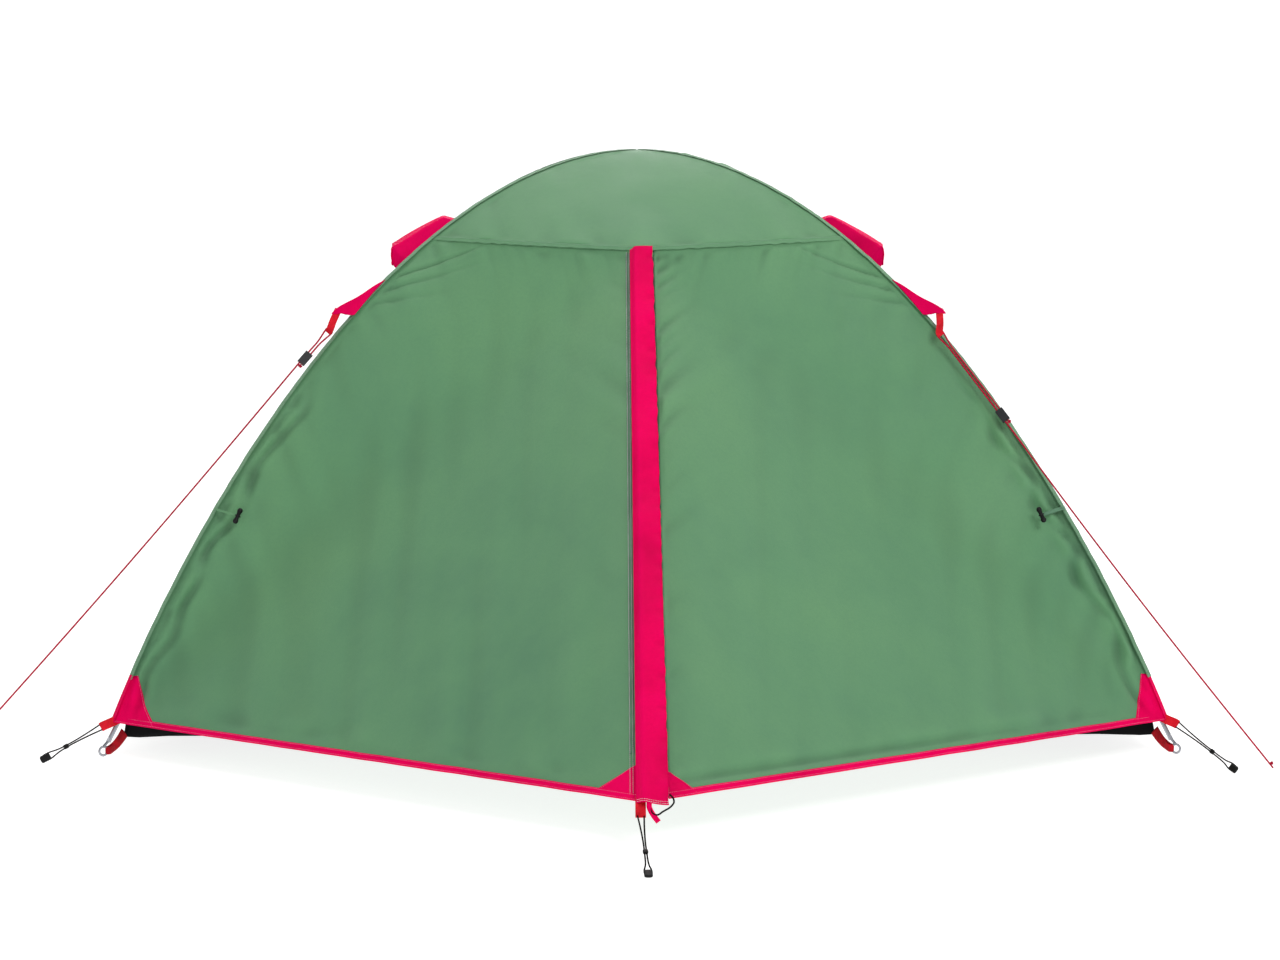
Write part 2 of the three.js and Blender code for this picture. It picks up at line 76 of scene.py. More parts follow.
# ------------------------------------------------------------------ dimensions, metres, as in the CAD
HL, HW, APEX = 1.050, 0.700, 1.195
ARC_END, ARC_A, ARC_B = 1.0215, 1.955, 1.1268
BROW_T = 0.41
C = np.array([0.0, -0.470, 1.000])
D = np.array([0.0, -1.460, 0.080])
CORNER_Z = 0.070
FLOOR_TOP = (1.018, 0.672, 0.095)
FLOOR_BOTTOM = (0.978, 0.585)
FOOT_AT, RING_AT = 1.0045, 1.0165
UP = np.array([0.0, 0.0, 1.0])


def unit(v):
    v = np.asarray(v, float)
    return v / np.maximum(np.linalg.norm(v, axis=-1, keepdims=True), 1e-12)


def lerp(a, b, s):
    return a + (b - a) * s


def smooth(x):
    x = np.clip(x, 0, 1)
    return x * x * (3 - 2 * x)


def height(t):
    t = np.asarray(t, float)
    return APEX * np.power(np.clip(1 - np.power(np.minimum(t / ARC_END, 1), ARC_A), 0, 1), 1 / ARC_B)


def arc(sx, sy, t):
    t = np.asarray(t, float)
    return np.stack([sx * HL * t, sy * HW * t, height(t)], -1)


BL = arc(-1, -1, 1.0)
EL = arc(-1, -1, BROW_T)
ZIP_LENGTH = float(np.linalg.norm(D - C))
ZIP_DIR = (D - C) / ZIP_LENGTH
RIDGE_OUT = unit(np.array([0.0, ZIP_DIR[2], -ZIP_DIR[1]]))
if RIDGE_OUT[1] > 0:
    RIDGE_OUT = -RIDGE_OUT


def turn(points):
    """Half a turn about Z: the front to the rear."""
    p = np.array(points, float)
    p[..., 0] *= -1
    p[..., 1] *= -1
    return p


# ------------------------------------------------------------------ repeatable noise
def waves1(x, wavelength, seed, terms=6):
    rng = np.random.default_rng(seed)
    out = np.zeros_like(np.asarray(x, float))
    for _ in range(terms):
        f = 1.0 / (wavelength * rng.uniform(0.65, 1.6))
        out = out + rng.uniform(0.5, 1.0) * np.cos(2 * math.pi * (f * x + rng.uniform()))
    return out / math.sqrt(terms)


def waves2(x, y, wx, wy, seed, terms=9, spread=0.5):
    """Soft folds about wx across and wy along."""
    rng = np.random.default_rng(seed)
    out = np.zeros_like(x)
    for _ in range(terms):
        fx = rng.choice([-1, 1]) / (wx * rng.uniform(0.7, 1.7))
        fy = rng.uniform(-spread, spread) / wy * 2
        out = out + rng.uniform(0.5, 1.0) * np.cos(2 * math.pi * (fx * x + fy * y + rng.uniform()))
    return out / math.sqrt(terms)


# ------------------------------------------------------------------ mesh helpers
def new_mesh(name, verts, faces, material=None, uv=None, shade=True):
    me = bpy.data.meshes.new(name)
    me.from_pydata([tuple(v) for v in np.asarray(verts, float)], [], [tuple(int(i) for i in f) for f in faces])
    me.update()
    if uv is not None:
        layer = me.uv_layers.new(name="cloth")
        loops = np.zeros(len(me.loops), np.int32)
        me.loops.foreach_get("vertex_index", loops)
        layer.data.foreach_set("uv", np.asarray(uv, np.float32)[loops].ravel())
    if shade:
        me.polygons.foreach_set("use_smooth", np.ones(len(me.polygons), bool))
    if material:
        me.materials.append(material)
    ob = bpy.data.objects.new(name, me)
    SCENE.collection.objects.link(ob)
    return ob


def grid_faces(nu, nv, flip=False):
    i = np.arange(nu)[:, None] * (nv + 1) + np.arange(nv)[None, :]
    q = np.stack([i, i + nv + 1, i + nv + 2, i + 1], -1).reshape(-1, 4)
    return q[:, ::-1] if flip else q


def grid_normals(P):
    du = np.gradient(P, axis=0)
    dv = np.gradient(P, axis=1)
    return unit(np.cross(du, dv))


def grid_uv(P):
    """Cloth coordinates in metres, from lengths along the grid."""
    du = np.linalg.norm(np.diff(P, axis=0), axis=-1)
    dv = np.linalg.norm(np.diff(P, axis=1), axis=-1)
    u = np.zeros(P.shape[:2])
    v = np.zeros(P.shape[:2])
    u[1:] = np.cumsum(du, 0)
    v[:, 1:] = np.cumsum(dv, 1)
    return np.stack([u, v], -1).reshape(-1, 2)


def blurred(A, times):
    for _ in range(times):
        B = np.pad(A, [(1, 1), (1, 1)] + [(0, 0)] * (A.ndim - 2), mode="reflect", reflect_type="odd")
        A = (B[:-2, 1:-1] + B[2:, 1:-1] + B[1:-1, :-2] + B[1:-1, 2:] + 2 * B[1:-1, 1:-1]) / 6
    return A


def cloth(name, P, material, outward, thickness=0.0005, shade=None, depth=0.0026):
    """A grid of points P (nu+1, nv+1, 3) as a sheet of cloth whose outer face is P."""
    nu, nv = P.shape[0] - 1, P.shape[1] - 1
    n = grid_normals(P)
    flip = float(np.mean(n @ np.asarray(outward, float))) < 0
    ob = new_mesh(name, P.reshape(-1, 3), grid_faces(nu, nv, flip), material, grid_uv(P))
    # how deep each point lies in a fold, kept as a point attribute: the shader paints shade into the folds and a
    # painted highlight on raised cloth
    raw = ((blurred(P, 9) - P) * (-n if flip else n)).sum(-1) / depth
    hollow = blurred(np.tanh(raw[..., None]), 3)[..., 0]
    # painted shade handed in by the caller goes into the same attribute
    hollow = hollow + (0.0 if shade is None else shade)
    layer = ob.data.attributes.new("painted_fold_shade", "FLOAT", "POINT")
    layer.data.foreach_set("value", np.clip(hollow, -0.4, 1.3).astype(np.float32).ravel())
    mod = ob.modifiers.new("thickness", "SOLIDIFY")
    mod.thickness = thickness
    mod.offset = -1.0
    return ob


def resample(points, step=None, count=None):
    p = np.asarray(points, float)
    seg = np.linalg.norm(np.diff(p, axis=0), axis=1)
    s = np.concatenate([[0], np.cumsum(seg)])
    n = count or max(2, int(round(s[-1] / step)) + 1)
    at = np.linspace(0, s[-1], n)
    return np.stack([np.interp(at, s, p[:, k]) for k in range(3)], -1)


def interp_along(points, values, fresh):
    """values given at points, read at the nearest share of length of fresh."""
    def share(p):
        seg = np.linalg.norm(np.diff(p, axis=0), axis=1)
        s = np.concatenate([[0], np.cumsum(seg)])
        return s / s[-1]
    a, b = share(np.asarray(points, float)), share(np.asarray(fresh, float))
    v = np.asarray(values, float)
    return unit(np.stack([np.interp(b, a, v[:, k]) for k in range(3)], -1))


def catmull(points, per=6):
    p = [np.asarray(q, float) for q in points]
    p = [2 * p[0] - p[1]] + p + [2 * p[-1] - p[-2]]
    out = []
    for i in range(1, len(p) - 2):
        p0, p1, p2, p3 = p[i - 1:i + 3]
        t0 = 0.0
        t1 = t0 + max(np.linalg.norm(p1 - p0), 1e-6) ** 0.5
        t2 = t1 + max(np.linalg.norm(p2 - p1), 1e-6) ** 0.5
        t3 = t2 + max(np.linalg.norm(p3 - p2), 1e-6) ** 0.5
        for t in np.linspace(t1, t2, per, endpoint=False):
            a1 = (t1 - t) / (t1 - t0) * p0 + (t - t0) / (t1 - t0) * p1
            a2 = (t2 - t) / (t2 - t1) * p1 + (t - t1) / (t2 - t1) * p2
            a3 = (t3 - t) / (t3 - t2) * p2 + (t - t2) / (t3 - t2) * p3
            b1 = (t2 - t) / (t2 - t0) * a1 + (t - t0) / (t2 - t0) * a2
            b2 = (t3 - t) / (t3 - t1) * a2 + (t - t1) / (t3 - t1) * a3
            out.append((t2 - t) / (t2 - t1) * b1 + (t - t1) / (t2 - t1) * b2)
    out.append(p[-2])
    return np.array(out)


def tangents(p, closed=False):
    p = np.asarray(p, float)
    if closed:
        return unit(np.roll(p, -1, 0) - np.roll(p, 1, 0))
    return unit(np.gradient(p, axis=0))


# a crowned flat band, with rounded edges, closed at its ends
PROFILE = [(-0.5, 0.0), (-0.492, 0.6), (-0.45, 1.0), (-0.25, 1.08), (0.0, 1.1), (0.25, 1.08), (0.45, 1.0),
           (0.492, 0.6), (0.5, 0.0), (0.45, -0.25), (0.0, -0.3), (-0.45, -0.25)]


def band(name, points, normals, width, thick, material, closed=False, profile=PROFILE, lift=0.0):
    p = np.asarray(points, float)
    n = np.asarray(normals, float)
    if n.ndim == 1:
        n = np.tile(n, (len(p), 1))
    t = tangents(p, closed)
    n = unit(n - (n * t).sum(1)[:, None] * t)
    b = np.cross(t, n)
    w = np.full(len(p), width) if np.isscalar(width) else np.asarray(width)
    ring = np.array(profile)
    k = len(ring)
    P = p[:, None, :] + b[:, None, :] * (ring[None, :, 0, None] * w[:, None, None]) + n[:, None, :] * (
        ring[None, :, 1, None] * thick + lift)
    verts = P.reshape(-1, 3)
    faces = []
    m = len(p)
    for i in range(m if closed else m - 1):
        j = (i + 1) % m
        for a in range(k):
            c = (a + 1) % k
            faces.append((i * k + a, i * k + c, j * k + c, j * k + a))
    if not closed:
        faces.append(tuple(range(k))[::-1])
        faces.append(tuple((m - 1) * k + a for a in range(k)))
    s = np.concatenate([[0], np.cumsum(np.linalg.norm(np.diff(p, axis=0), axis=1))])
    uv = np.stack([np.repeat(s, k), (ring[None, :, 0] * w[:, None]).ravel()], -1)
    ob = new_mesh(name, verts, faces, material, uv)
    fix_normals(ob)
    return ob


def fix_normals(ob):
    bm = bmesh.new()
    bm.from_mesh(ob.data)
    bmesh.ops.recalc_face_normals(bm, faces=bm.faces)
    bm.to_mesh(ob.data)
    bm.free()


def tube(name, points, radius, material, sides=10, closed=False, taper=None):
    p = np.asarray(points, float)
    t = tangents(p, closed)
    m = len(p)
    ref = UP if abs(t[0] @ UP) < 0.9 else np.array([1.0, 0, 0])
    n = unit(np.cross(t[0], ref))
    frames = [n]
    for i in range(1, m):
        n = frames[-1] - (frames[-1] @ t[i]) * t[i]
        frames.append(unit(n))
    N = np.array(frames)
    B = np.cross(t, N)
    if closed:  # share out the twist that is left over
        last = frames[-1] - (frames[-1] @ t[0]) * t[0]
        last = unit(last)
        angle = math.atan2(float(np.cross(last, N[0]) @ t[0]), float(last @ N[0]))
        turn_by = np.linspace(0, angle, m, endpoint=False)
        N, B = (N * np.cos(turn_by)[:, None] + B * np.sin(turn_by)[:, None],
                B * np.cos(turn_by)[:, None] - N * np.sin(turn_by)[:, None])
    r = np.full(m, radius) if np.isscalar(radius) else np.asarray(radius, float)
    a = np.linspace(0, 2 * math.pi, sides, endpoint=False)
    P = p[:, None, :] + r[:, None, None] * (
        np.cos(a)[None, :, None] * N[:, None, :] + np.sin(a)[None, :, None] * B[:, None, :])
    faces = []
    for i in range(m if closed else m - 1):
        j = (i + 1) % m
        for q in range(sides):
            c = (q + 1) % sides
            faces.append((i * sides + q, i * sides + c, j * sides + c, j * sides + q))
    if not closed:
        faces.append(tuple(range(sides))[::-1])
        faces.append(tuple((m - 1) * sides + q for q in range(sides)))
    s = np.concatenate([[0], np.cumsum(np.linalg.norm(np.diff(p, axis=0), axis=1))])
    uv = np.stack([np.repeat(s, sides), np.tile(a * float(np.mean(r)), m)], -1)
    ob = new_mesh(name, P.reshape(-1, 3), faces, material, uv)
    fix_normals(ob)
    return ob


def lathe(name, profile, origin, axis, material, sides=20, uvscale=1.0):
    """profile: (radius, distance along axis), from one end on the axis to the other."""
    axis = unit(axis)
    ref = UP if abs(axis @ UP) < 0.9 else np.array([1.0, 0, 0])
    u = unit(np.cross(axis, ref))
    v = np.cross(axis, u)
    verts, faces, uv = [], [], []
    rings = []
    for r, d in profile:
        if r < 1e-7:
            rings.append([len(verts)])
            verts.append(origin + axis * d)
            uv.append((d, 0))
        else:
            ids = []
            for i in range(sides):
                a = 2 * math.pi * i / sides
                ids.append(len(verts))
                verts.append(origin + axis * d + (u * math.cos(a) + v * math.sin(a)) * r)
                uv.append((d, a * r))
            rings.append(ids)
    for a, b in zip(rings, rings[1:]):
        for i in range(sides):
            j = (i + 1) % sides
            if len(a) == 1:
                faces.append((a[0], b[i], b[j]))
            elif len(b) == 1:
                faces.append((a[i], b[0], a[j]))
            else:
                faces.append((a[i], b[i], b[j], a[j]))
    ob = new_mesh(name, np.array(verts), faces, material, np.array(uv))
    fix_normals(ob)
    return ob


def stitches(name, lines, material, pitch=0.0042, length=0.0031, radius=0.00042):
    """One thread mesh of separate stitches. lines: (points, normals) each."""
    allv, allf = [], []
    ring = np.array([(0, 1), (1, 0), (0, -0.5), (-1, 0)], float)
    along = np.array([-0.5, -0.28, 0.28, 0.5]) * length
    scale = np.array([0.35, 1.0, 1.0, 0.35])
    rise = np.array([-0.6, 0.35, 0.35, -0.6]) * radius
    base = 0
    for points, normals in lines:
        p0 = np.asarray(points, float)
        p = resample(p0, step=pitch)
        if len(p) < 3:
            continue
        n0 = np.asarray(normals, float)
        n = np.tile(unit(n0), (len(p), 1)) if n0.ndim == 1 else interp_along(p0, n0, p)
        t = tangents(p)
        n = unit(n - (n * t).sum(1)[:, None] * t)
        b = np.cross(t, n)
        P = (p[:, None, None, :] + t[:, None, None, :] * along[None, :, None, None]
             + b[:, None, None, :] * (ring[None, None, :, 0, None] * scale[None, :, None, None] * radius)
             + n[:, None, None, :] * (ring[None, None, :, 1, None] * scale[None, :, None, None] * radius
                                      + rise[None, :, None, None] + radius * 0.3))
        m = len(p)
        allv.append(P.reshape(-1, 3))
        f = []
        for a in range(3):
            for q in range(4):
                c = (q + 1) % 4
                f.append((a * 4 + q, a * 4 + c, a * 4 + 4 + c, a * 4 + 4 + q))
        f.append((3, 2, 1, 0))
        f.append((12, 13, 14, 15))
        f = np.array(f)
        allf.append((f[None] + (np.arange(m) * 16)[:, None, None] + base).reshape(-1, 4))
        base += m * 16
    ob = new_mesh(name, np.concatenate(allv), np.concatenate(allf), material)
    fix_normals(ob)
    return ob


# ------------------------------------------------------------------ materials
def srgb(r, g, b):
    def one(c):
        c /= 255.0
        return c / 12.92 if c <= 0.04045 else ((c + 0.055) / 1.055) ** 2.4
    return (one(r), one(g), one(b), 1.0)


class Nodes:
    def __init__(self, name):
        self.m = bpy.data.materials.new(name)
        self.m.use_nodes = True
        self.nt = self.m.node_tree
        self.bsdf = self.nt.nodes["Principled BSDF"]

    def add(self, kind, **values):
        n = self.nt.nodes.new(kind)
        for k, v in values.items():
            if k.startswith("in_"):
                n.inputs[k[3:].replace("_", " ")].default_value = v
            else:
                setattr(n, k, v)
        return n

    def link(self, a, b):
        self.nt.links.new(a, b)

    def math(self, op, a, b=None):
        n = self.nt.nodes.new("ShaderNodeMath")
        n.operation = op
        for i, x in enumerate([a, b]):
            if x is None:
                continue
            if isinstance(x, (int, float)):
                n.inputs[i].default_value = x
            else:
                self.link(x, n.inputs[i])
        return n.outputs[0]

    def noise(self, coord, scale, detail=2.0, rough=0.5, distortion=0.0):
        n = self.nt.nodes.new("ShaderNodeTexNoise")
        n.inputs["Scale"].default_value = scale
        n.inputs["Detail"].default_value = detail
        n.inputs["Roughness"].default_value = rough
        n.inputs["Distortion"].default_value = distortion
        self.link(coord, n.inputs["Vector"])
        return n.outputs["Fac"]

    def ramp(self, fac, stops):
        n = self.nt.nodes.new("ShaderNodeValToRGB")
        el = n.color_ramp.elements
        el[0].position, el[0].color = stops[0]
        el[1].position, el[1].color = stops[-1]
        for pos, col in stops[1:-1]:
            e = el.new(pos)
            e.color = col
        self.link(fac, n.inputs["Fac"])
        return n.outputs["Color"]

    def mixcol(self, fac, a, b, mode="MIX"):
        n = self.nt.nodes.new("ShaderNodeMix")
        n.data_type = "RGBA"
        n.blend_type = mode
        for key, x in ((0, fac), (6, a), (7, b)):
            if isinstance(x, (int, float)):
                n.inputs[key].default_value = x
            elif isinstance(x, tuple):
                n.inputs[key].default_value = x
            else:
                self.link(x, n.inputs[key])
        return n.outputs[2]

    def maprange(self, x, a, b, c, d):
        n = self.nt.nodes.new("ShaderNodeMapRange")
        n.inputs["From Min"].default_value = a
        n.inputs["From Max"].default_value = b
        n.inputs["To Min"].default_value = c
        n.inputs["To Max"].default_value = d
        self.link(x, n.inputs["Value"])
        return n.outputs["Result"]

    def bump(self, h, strength, distance, normal=None):
        n = self.nt.nodes.new("ShaderNodeBump")
        n.inputs["Strength"].default_value = strength
        n.inputs["Distance"].default_value = distance
        self.link(h, n.inputs["Height"])
        if normal is not None:
            self.link(normal, n.inputs["Normal"])
        return n.outputs["Normal"]

    def set(self, **k):
        for name, v in k.items():
            self.bsdf.inputs[name.replace("_", " ")].default_value = v


def fabric(name, dark, mid, light, period=0.0011, rough=(0.55, 0.75), sheen=0.25, weave=0.10, patch=2.2,
           crinkle=0.12, spec=0.35, use_uv=True, tint=None, warmth=None):
    """Woven cloth: patches of tone, a fine weave of warp and weft, slubs, small crinkles, and painted shade in folds
    with a painted highlight on raised cloth.
    """
    N = Nodes(name)
    obj = N.add("ShaderNodeTexCoord").outputs["Object"]
    big = N.noise(obj, patch, 3.0, 0.55, 0.4)
    col = N.ramp(big, [(0.30, dark), (0.52, mid), (0.74, light)])
    if tint is not None:  # slow drift across the height of the sheet
        sep = N.add("ShaderNodeSeparateXYZ")
        N.link(obj, sep.inputs[0])
        up = N.maprange(sep.outputs[2], 0.05, 1.15, 0.0, 1.0)
        col = N.mixcol(N.math("MULTIPLY", up, tint[1]), col, tint[0])
    fine = N.noise(obj, 38.0, 3.0, 0.6)
    col = N.mixcol(N.maprange(fine, 0.3, 0.7, 0.0, 0.16), col, light)
    grit = N.noise(obj, 170.0, 2.0, 0.7)
    col = N.mixcol(N.maprange(grit, 0.35, 0.7, 0.0, 0.22), col, dark)
    streak_map = N.add("ShaderNodeMapping")
    streak_map.inputs["Scale"].default_value = (26.0, 26.0, 2.2)
    N.link(obj, streak_map.inputs["Vector"])
    streak = N.noise(streak_map.outputs[0], 1.0, 3.0, 0.6, 0.4)
    col = N.mixcol(N.maprange(streak, 0.35, 0.7, 0.0, 0.20), col, light)
    if use_uv:
        uvn = N.add("ShaderNodeUVMap")
        uvn.uv_map = "cloth"
        src = uvn.outputs[0]
    else:
        src = obj
    sep = N.add("ShaderNodeSeparateXYZ")
    N.link(src, sep.inputs[0])
    f = 2 * math.pi / period
    jit = N.noise(obj, 220.0, 2.0)
    wa = N.math("SINE", N.math("ADD", N.math("MULTIPLY", sep.outputs[0], f), N.math("MULTIPLY", jit, 3.0)))
    wb = N.math("SINE", N.math("ADD", N.math("MULTIPLY", sep.outputs[1], f), N.math("MULTIPLY", jit, 3.0)))
    w = N.math("MULTIPLY", wa, wb)
    weave_fac = N.maprange(w, -1.0, 1.0, 0.0, weave)
    col = N.mixcol(weave_fac, col, dark)
    slub = N.noise(obj, 9.0, 6.0, 0.65, 1.5)
    col = N.mixcol(N.maprange(slub, 0.45, 0.8, 0.0, 0.16), col, dark)
    # painted shade: the colour is pulled towards a dim copy of the dark tone where the fold attribute is high
    fold = N.add("ShaderNodeAttribute", attribute_name="painted_fold_shade")
    shade = tuple(0.30 * c for c in dark[:3]) + (1.0,)
    col = N.mixcol(N.maprange(fold.outputs["Fac"], 0.06, 1.0, 0.0, 0.62), col, shade)
    # painted highlight: the colour is lifted towards a brighter light tone where the fold attribute is below zero, on
    # raised cloth
    col = N.mixcol(N.maprange(fold.outputs["Fac"], 0.0, -0.4, 0.0, 0.16), col, tuple(min(1.0, 1.35 * c) for c in light[:3]) + (1.0,))
    N.link(col, N.bsdf.inputs["Base Color"])
    N.link(N.maprange(N.noise(obj, 6.0, 4.0), 0.3, 0.7, rough[0], rough[1]), N.bsdf.inputs["Roughness"])
    b1 = N.bump(w, 0.25, 0.00025)
    crink = N.noise(obj, 26.0, 5.0, 0.55, 1.2)
    b2 = N.bump(crink, crinkle, 0.004, b1)
    N.link(b2, N.bsdf.inputs["Normal"])
    N.set(Sheen_Weight=sheen, Sheen_Roughness=0.45, Specular_IOR_Level=spec)
    return N.m


GREEN_D, GREEN_M, GREEN_L = srgb(80, 130, 96), srgb(90, 142, 101), srgb(100, 151, 104)
M = {}
M["fly"] = fabric("fly_green_cloth", GREEN_D, GREEN_M, GREEN_L, tint=(srgb(110, 160, 112), 0.35))
M["fly_tape"] = fabric("fly_seam_cloth", srgb(72, 112, 88), srgb(86, 130, 100), srgb(110, 158, 124), period=0.0009,
                       crinkle=0.25, patch=14)
M["pink"] = fabric("trim_pink_cloth", srgb(212, 0, 76), srgb(240, 0, 88), srgb(252, 0, 98), period=0.0011, patch=5,
                   sheen=0.0, spec=0.03, crinkle=0.10, weave=0.08)
M["webbing"] = fabric("webbing_red", srgb(176, 8, 26), srgb(228, 18, 40), srgb(246, 40, 58), period=0.0026,
                      rough=(0.6, 0.85), weave=0.35, crinkle=0.1, patch=40, sheen=0.05, spec=0.15)
M["webbing_dark"] = fabric("webbing_dark_red", srgb(140, 4, 20), srgb(196, 8, 30), srgb(220, 20, 40), period=0.0026,
                           rough=(0.6, 0.85), weave=0.35, crinkle=0.1, patch=40, sheen=0.05, spec=0.15)
M["floor"] = fabric("floor_black_cloth", (0.0015, 0.0015, 0.0017, 1), (0.003, 0.003, 0.0035, 1), (0.008, 0.008, 0.009, 1),
                    period=0.0012, rough=(0.7, 0.85), sheen=0.0, spec=0.05, crinkle=0.4, patch=5)
M["inner"] = fabric("inner_grey_cloth", srgb(150, 155, 152), srgb(184, 188, 184), srgb(206, 208, 204), period=0.001,
                    sheen=0.2, crinkle=0.2)
M["tape_grey"] = fabric("inner_tape", srgb(60, 64, 66), srgb(84, 88, 90), srgb(110, 114, 116), period=0.002,
                        weave=0.3, patch=20)
M["binding_black"] = fabric("binding_black", (0.004, 0.004, 0.005, 1), (0.012, 0.012, 0.013, 1), (0.03, 0.03, 0.032, 1),
                            period=0.0018, weave=0.4, patch=30)


def thread(name, dark, light, rough=0.55):
    N = Nodes(name)
    obj = N.add("ShaderNodeTexCoord").outputs["Object"]
    col = N.ramp(N.noise(obj, 90.0, 3.0), [(0.3, dark), (0.7, light)])
    N.link(col, N.bsdf.inputs["Base Color"])
    wave = N.nt.nodes.new("ShaderNodeTexWave")
    wave.inputs["Scale"].default_value = 900.0
    N.link(obj, wave.inputs["Vector"])
    N.link(N.bump(wave.outputs["Fac"], 0.3, 0.0002), N.bsdf.inputs["Normal"])
    N.link(N.maprange(N.noise(obj, 40.0), 0.3, 0.7, rough - 0.08, rough + 0.12), N.bsdf.inputs["Roughness"])
    N.set(Sheen_Weight=0.3)
    return N.m


M["thread_pale"] = thread("thread_pale_green", srgb(150, 190, 165), srgb(196, 220, 204))
M["thread_white"] = thread("thread_white", srgb(222, 205, 212), srgb(250, 240, 244))
M["thread_pink"] = thread("thread_pink", srgb(232, 70, 130), srgb(252, 120, 165))
M["thread_green"] = thread("thread_green", srgb(104, 150, 120), srgb(136, 178, 146))
M["thread_black"] = thread("thread_black", (0.01, 0.01, 0.01, 1), (0.03, 0.03, 0.03, 1))


def braid(name, dark, light, period=0.0022, rough=0.7, fleck=None, sheen=0.05, spec=0.25):
    """Round braided cord."""
    N = Nodes(name)
    obj = N.add("ShaderNodeTexCoord").outputs["Object"]
    w1 = N.nt.nodes.new("ShaderNodeTexWave")
    w1.bands_direction = "DIAGONAL"
    w1.inputs["Scale"].default_value = 0.31 / period
    w1.inputs["Distortion"].default_value = 1.2
    w1.inputs["Detail"].default_value = 1.0
    N.link(obj, w1.inputs["Vector"])
    vor = N.nt.nodes.new("ShaderNodeTexVoronoi")
    vor.inputs["Scale"].default_value = 1.0 / period
    N.link(obj, vor.inputs["Vector"])
    h = N.math("ADD", w1.outputs["Fac"], N.math("MULTIPLY", vor.outputs["Distance"], -0.8))
    col = N.ramp(h, [(0.1, dark), (0.8, light)])
    if fleck is not None:
        col = N.mixcol(N.maprange(N.noise(obj, 420.0, 1.0), 0.62, 0.7, 0.0, 0.8), col, fleck)
    N.link(col, N.bsdf.inputs["Base Color"])
    N.link(N.bump(h, 0.6, 0.0005), N.bsdf.inputs["Normal"])
    N.link(N.maprange(N.noise(obj, 60.0), 0.3, 0.7, rough - 0.1, rough + 0.15), N.bsdf.inputs["Roughness"])
    N.set(Sheen_Weight=sheen, Specular_IOR_Level=spec)
    return N.m


M["guy"] = braid("guy_line_red", srgb(160, 0, 40), srgb(236, 18, 78))
M["elastic"] = braid("elastic_black", (0.001, 0.001, 0.0012, 1), (0.006, 0.006, 0.007, 1), fleck=(0.012, 0.012, 0.013, 1), sheen=0.0, spec=0.08)
M["shock"] = braid("shock_cord_white", srgb(190, 188, 180), srgb(232, 230, 224), fleck=srgb(60, 60, 90))


def metal(name, base, rough=(0.18, 0.38), wear=srgb(120, 122, 128), brushed=900.0, metallic=1.0):
    N = Nodes(name)
    obj = N.add("ShaderNodeTexCoord").outputs["Object"]
    mp = N.add("ShaderNodeMapping")
    mp.inputs["Scale"].default_value = (brushed, brushed, brushed * 0.05)
    N.link(obj, mp.inputs["Vector"])
    grain = N.noise(mp.outputs[0], 1.0, 2.0)
    spots = N.noise(obj, 120.0, 5.0, 0.7)
    edge = N.add("ShaderNodeNewGeometry").outputs["Pointiness"]
    col = N.mixcol(N.maprange(spots, 0.5, 0.8, 0.0, 0.6), base, wear)
    col = N.mixcol(N.maprange(edge, 0.5, 0.6, 0.0, 0.4), col, srgb(214, 216, 222))
    N.link(col, N.bsdf.inputs["Base Color"])
    N.link(N.maprange(N.math("ADD", grain, spots), 0.6, 1.4, rough[0], rough[1]), N.bsdf.inputs["Roughness"])
    N.link(N.bump(grain, 0.15, 0.0002), N.bsdf.inputs["Normal"])
    N.set(Metallic=metallic)
    return N.m


M["steel"] = metal("pin_steel", srgb(138, 141, 148), rough=(0.22, 0.48), wear=srgb(70, 72, 78))
M["alloy"] = metal("pole_alloy", srgb(168, 172, 180), rough=(0.28, 0.46))
M["zinc"] = metal("zip_zinc", srgb(150, 152, 158), rough=(0.3, 0.5), wear=srgb(80, 82, 88))


def moulded(name, base, light, rough=(0.38, 0.55)):
    N = Nodes(name)
    obj = N.add("ShaderNodeTexCoord").outputs["Object"]
    grain = N.noise(obj, 700.0, 3.0, 0.6)
    big = N.noise(obj, 60.0, 3.0)
    edge = N.add("ShaderNodeNewGeometry").outputs["Pointiness"]
    col = N.mixcol(N.maprange(big, 0.35, 0.75, 0.0, 0.6), base, light)
    col = N.mixcol(N.maprange(edge, 0.53, 0.64, 0.0, 0.5), col, (0.045, 0.045, 0.05, 1))
    N.link(col, N.bsdf.inputs["Base Color"])
    N.link(N.maprange(big, 0.3, 0.7, rough[0], rough[1]), N.bsdf.inputs["Roughness"])
    N.link(N.bump(grain, 0.2, 0.0002), N.bsdf.inputs["Normal"])
    N.set(Specular_IOR_Level=0.22)
    return N.m


M["plastic"] = moulded("moulded_black", (0.003, 0.003, 0.0035, 1), (0.008, 0.008, 0.009, 1))
M["coil"] = moulded("zip_coil_black", (0.008, 0.008, 0.009, 1), (0.03, 0.03, 0.032, 1), (0.3, 0.45))


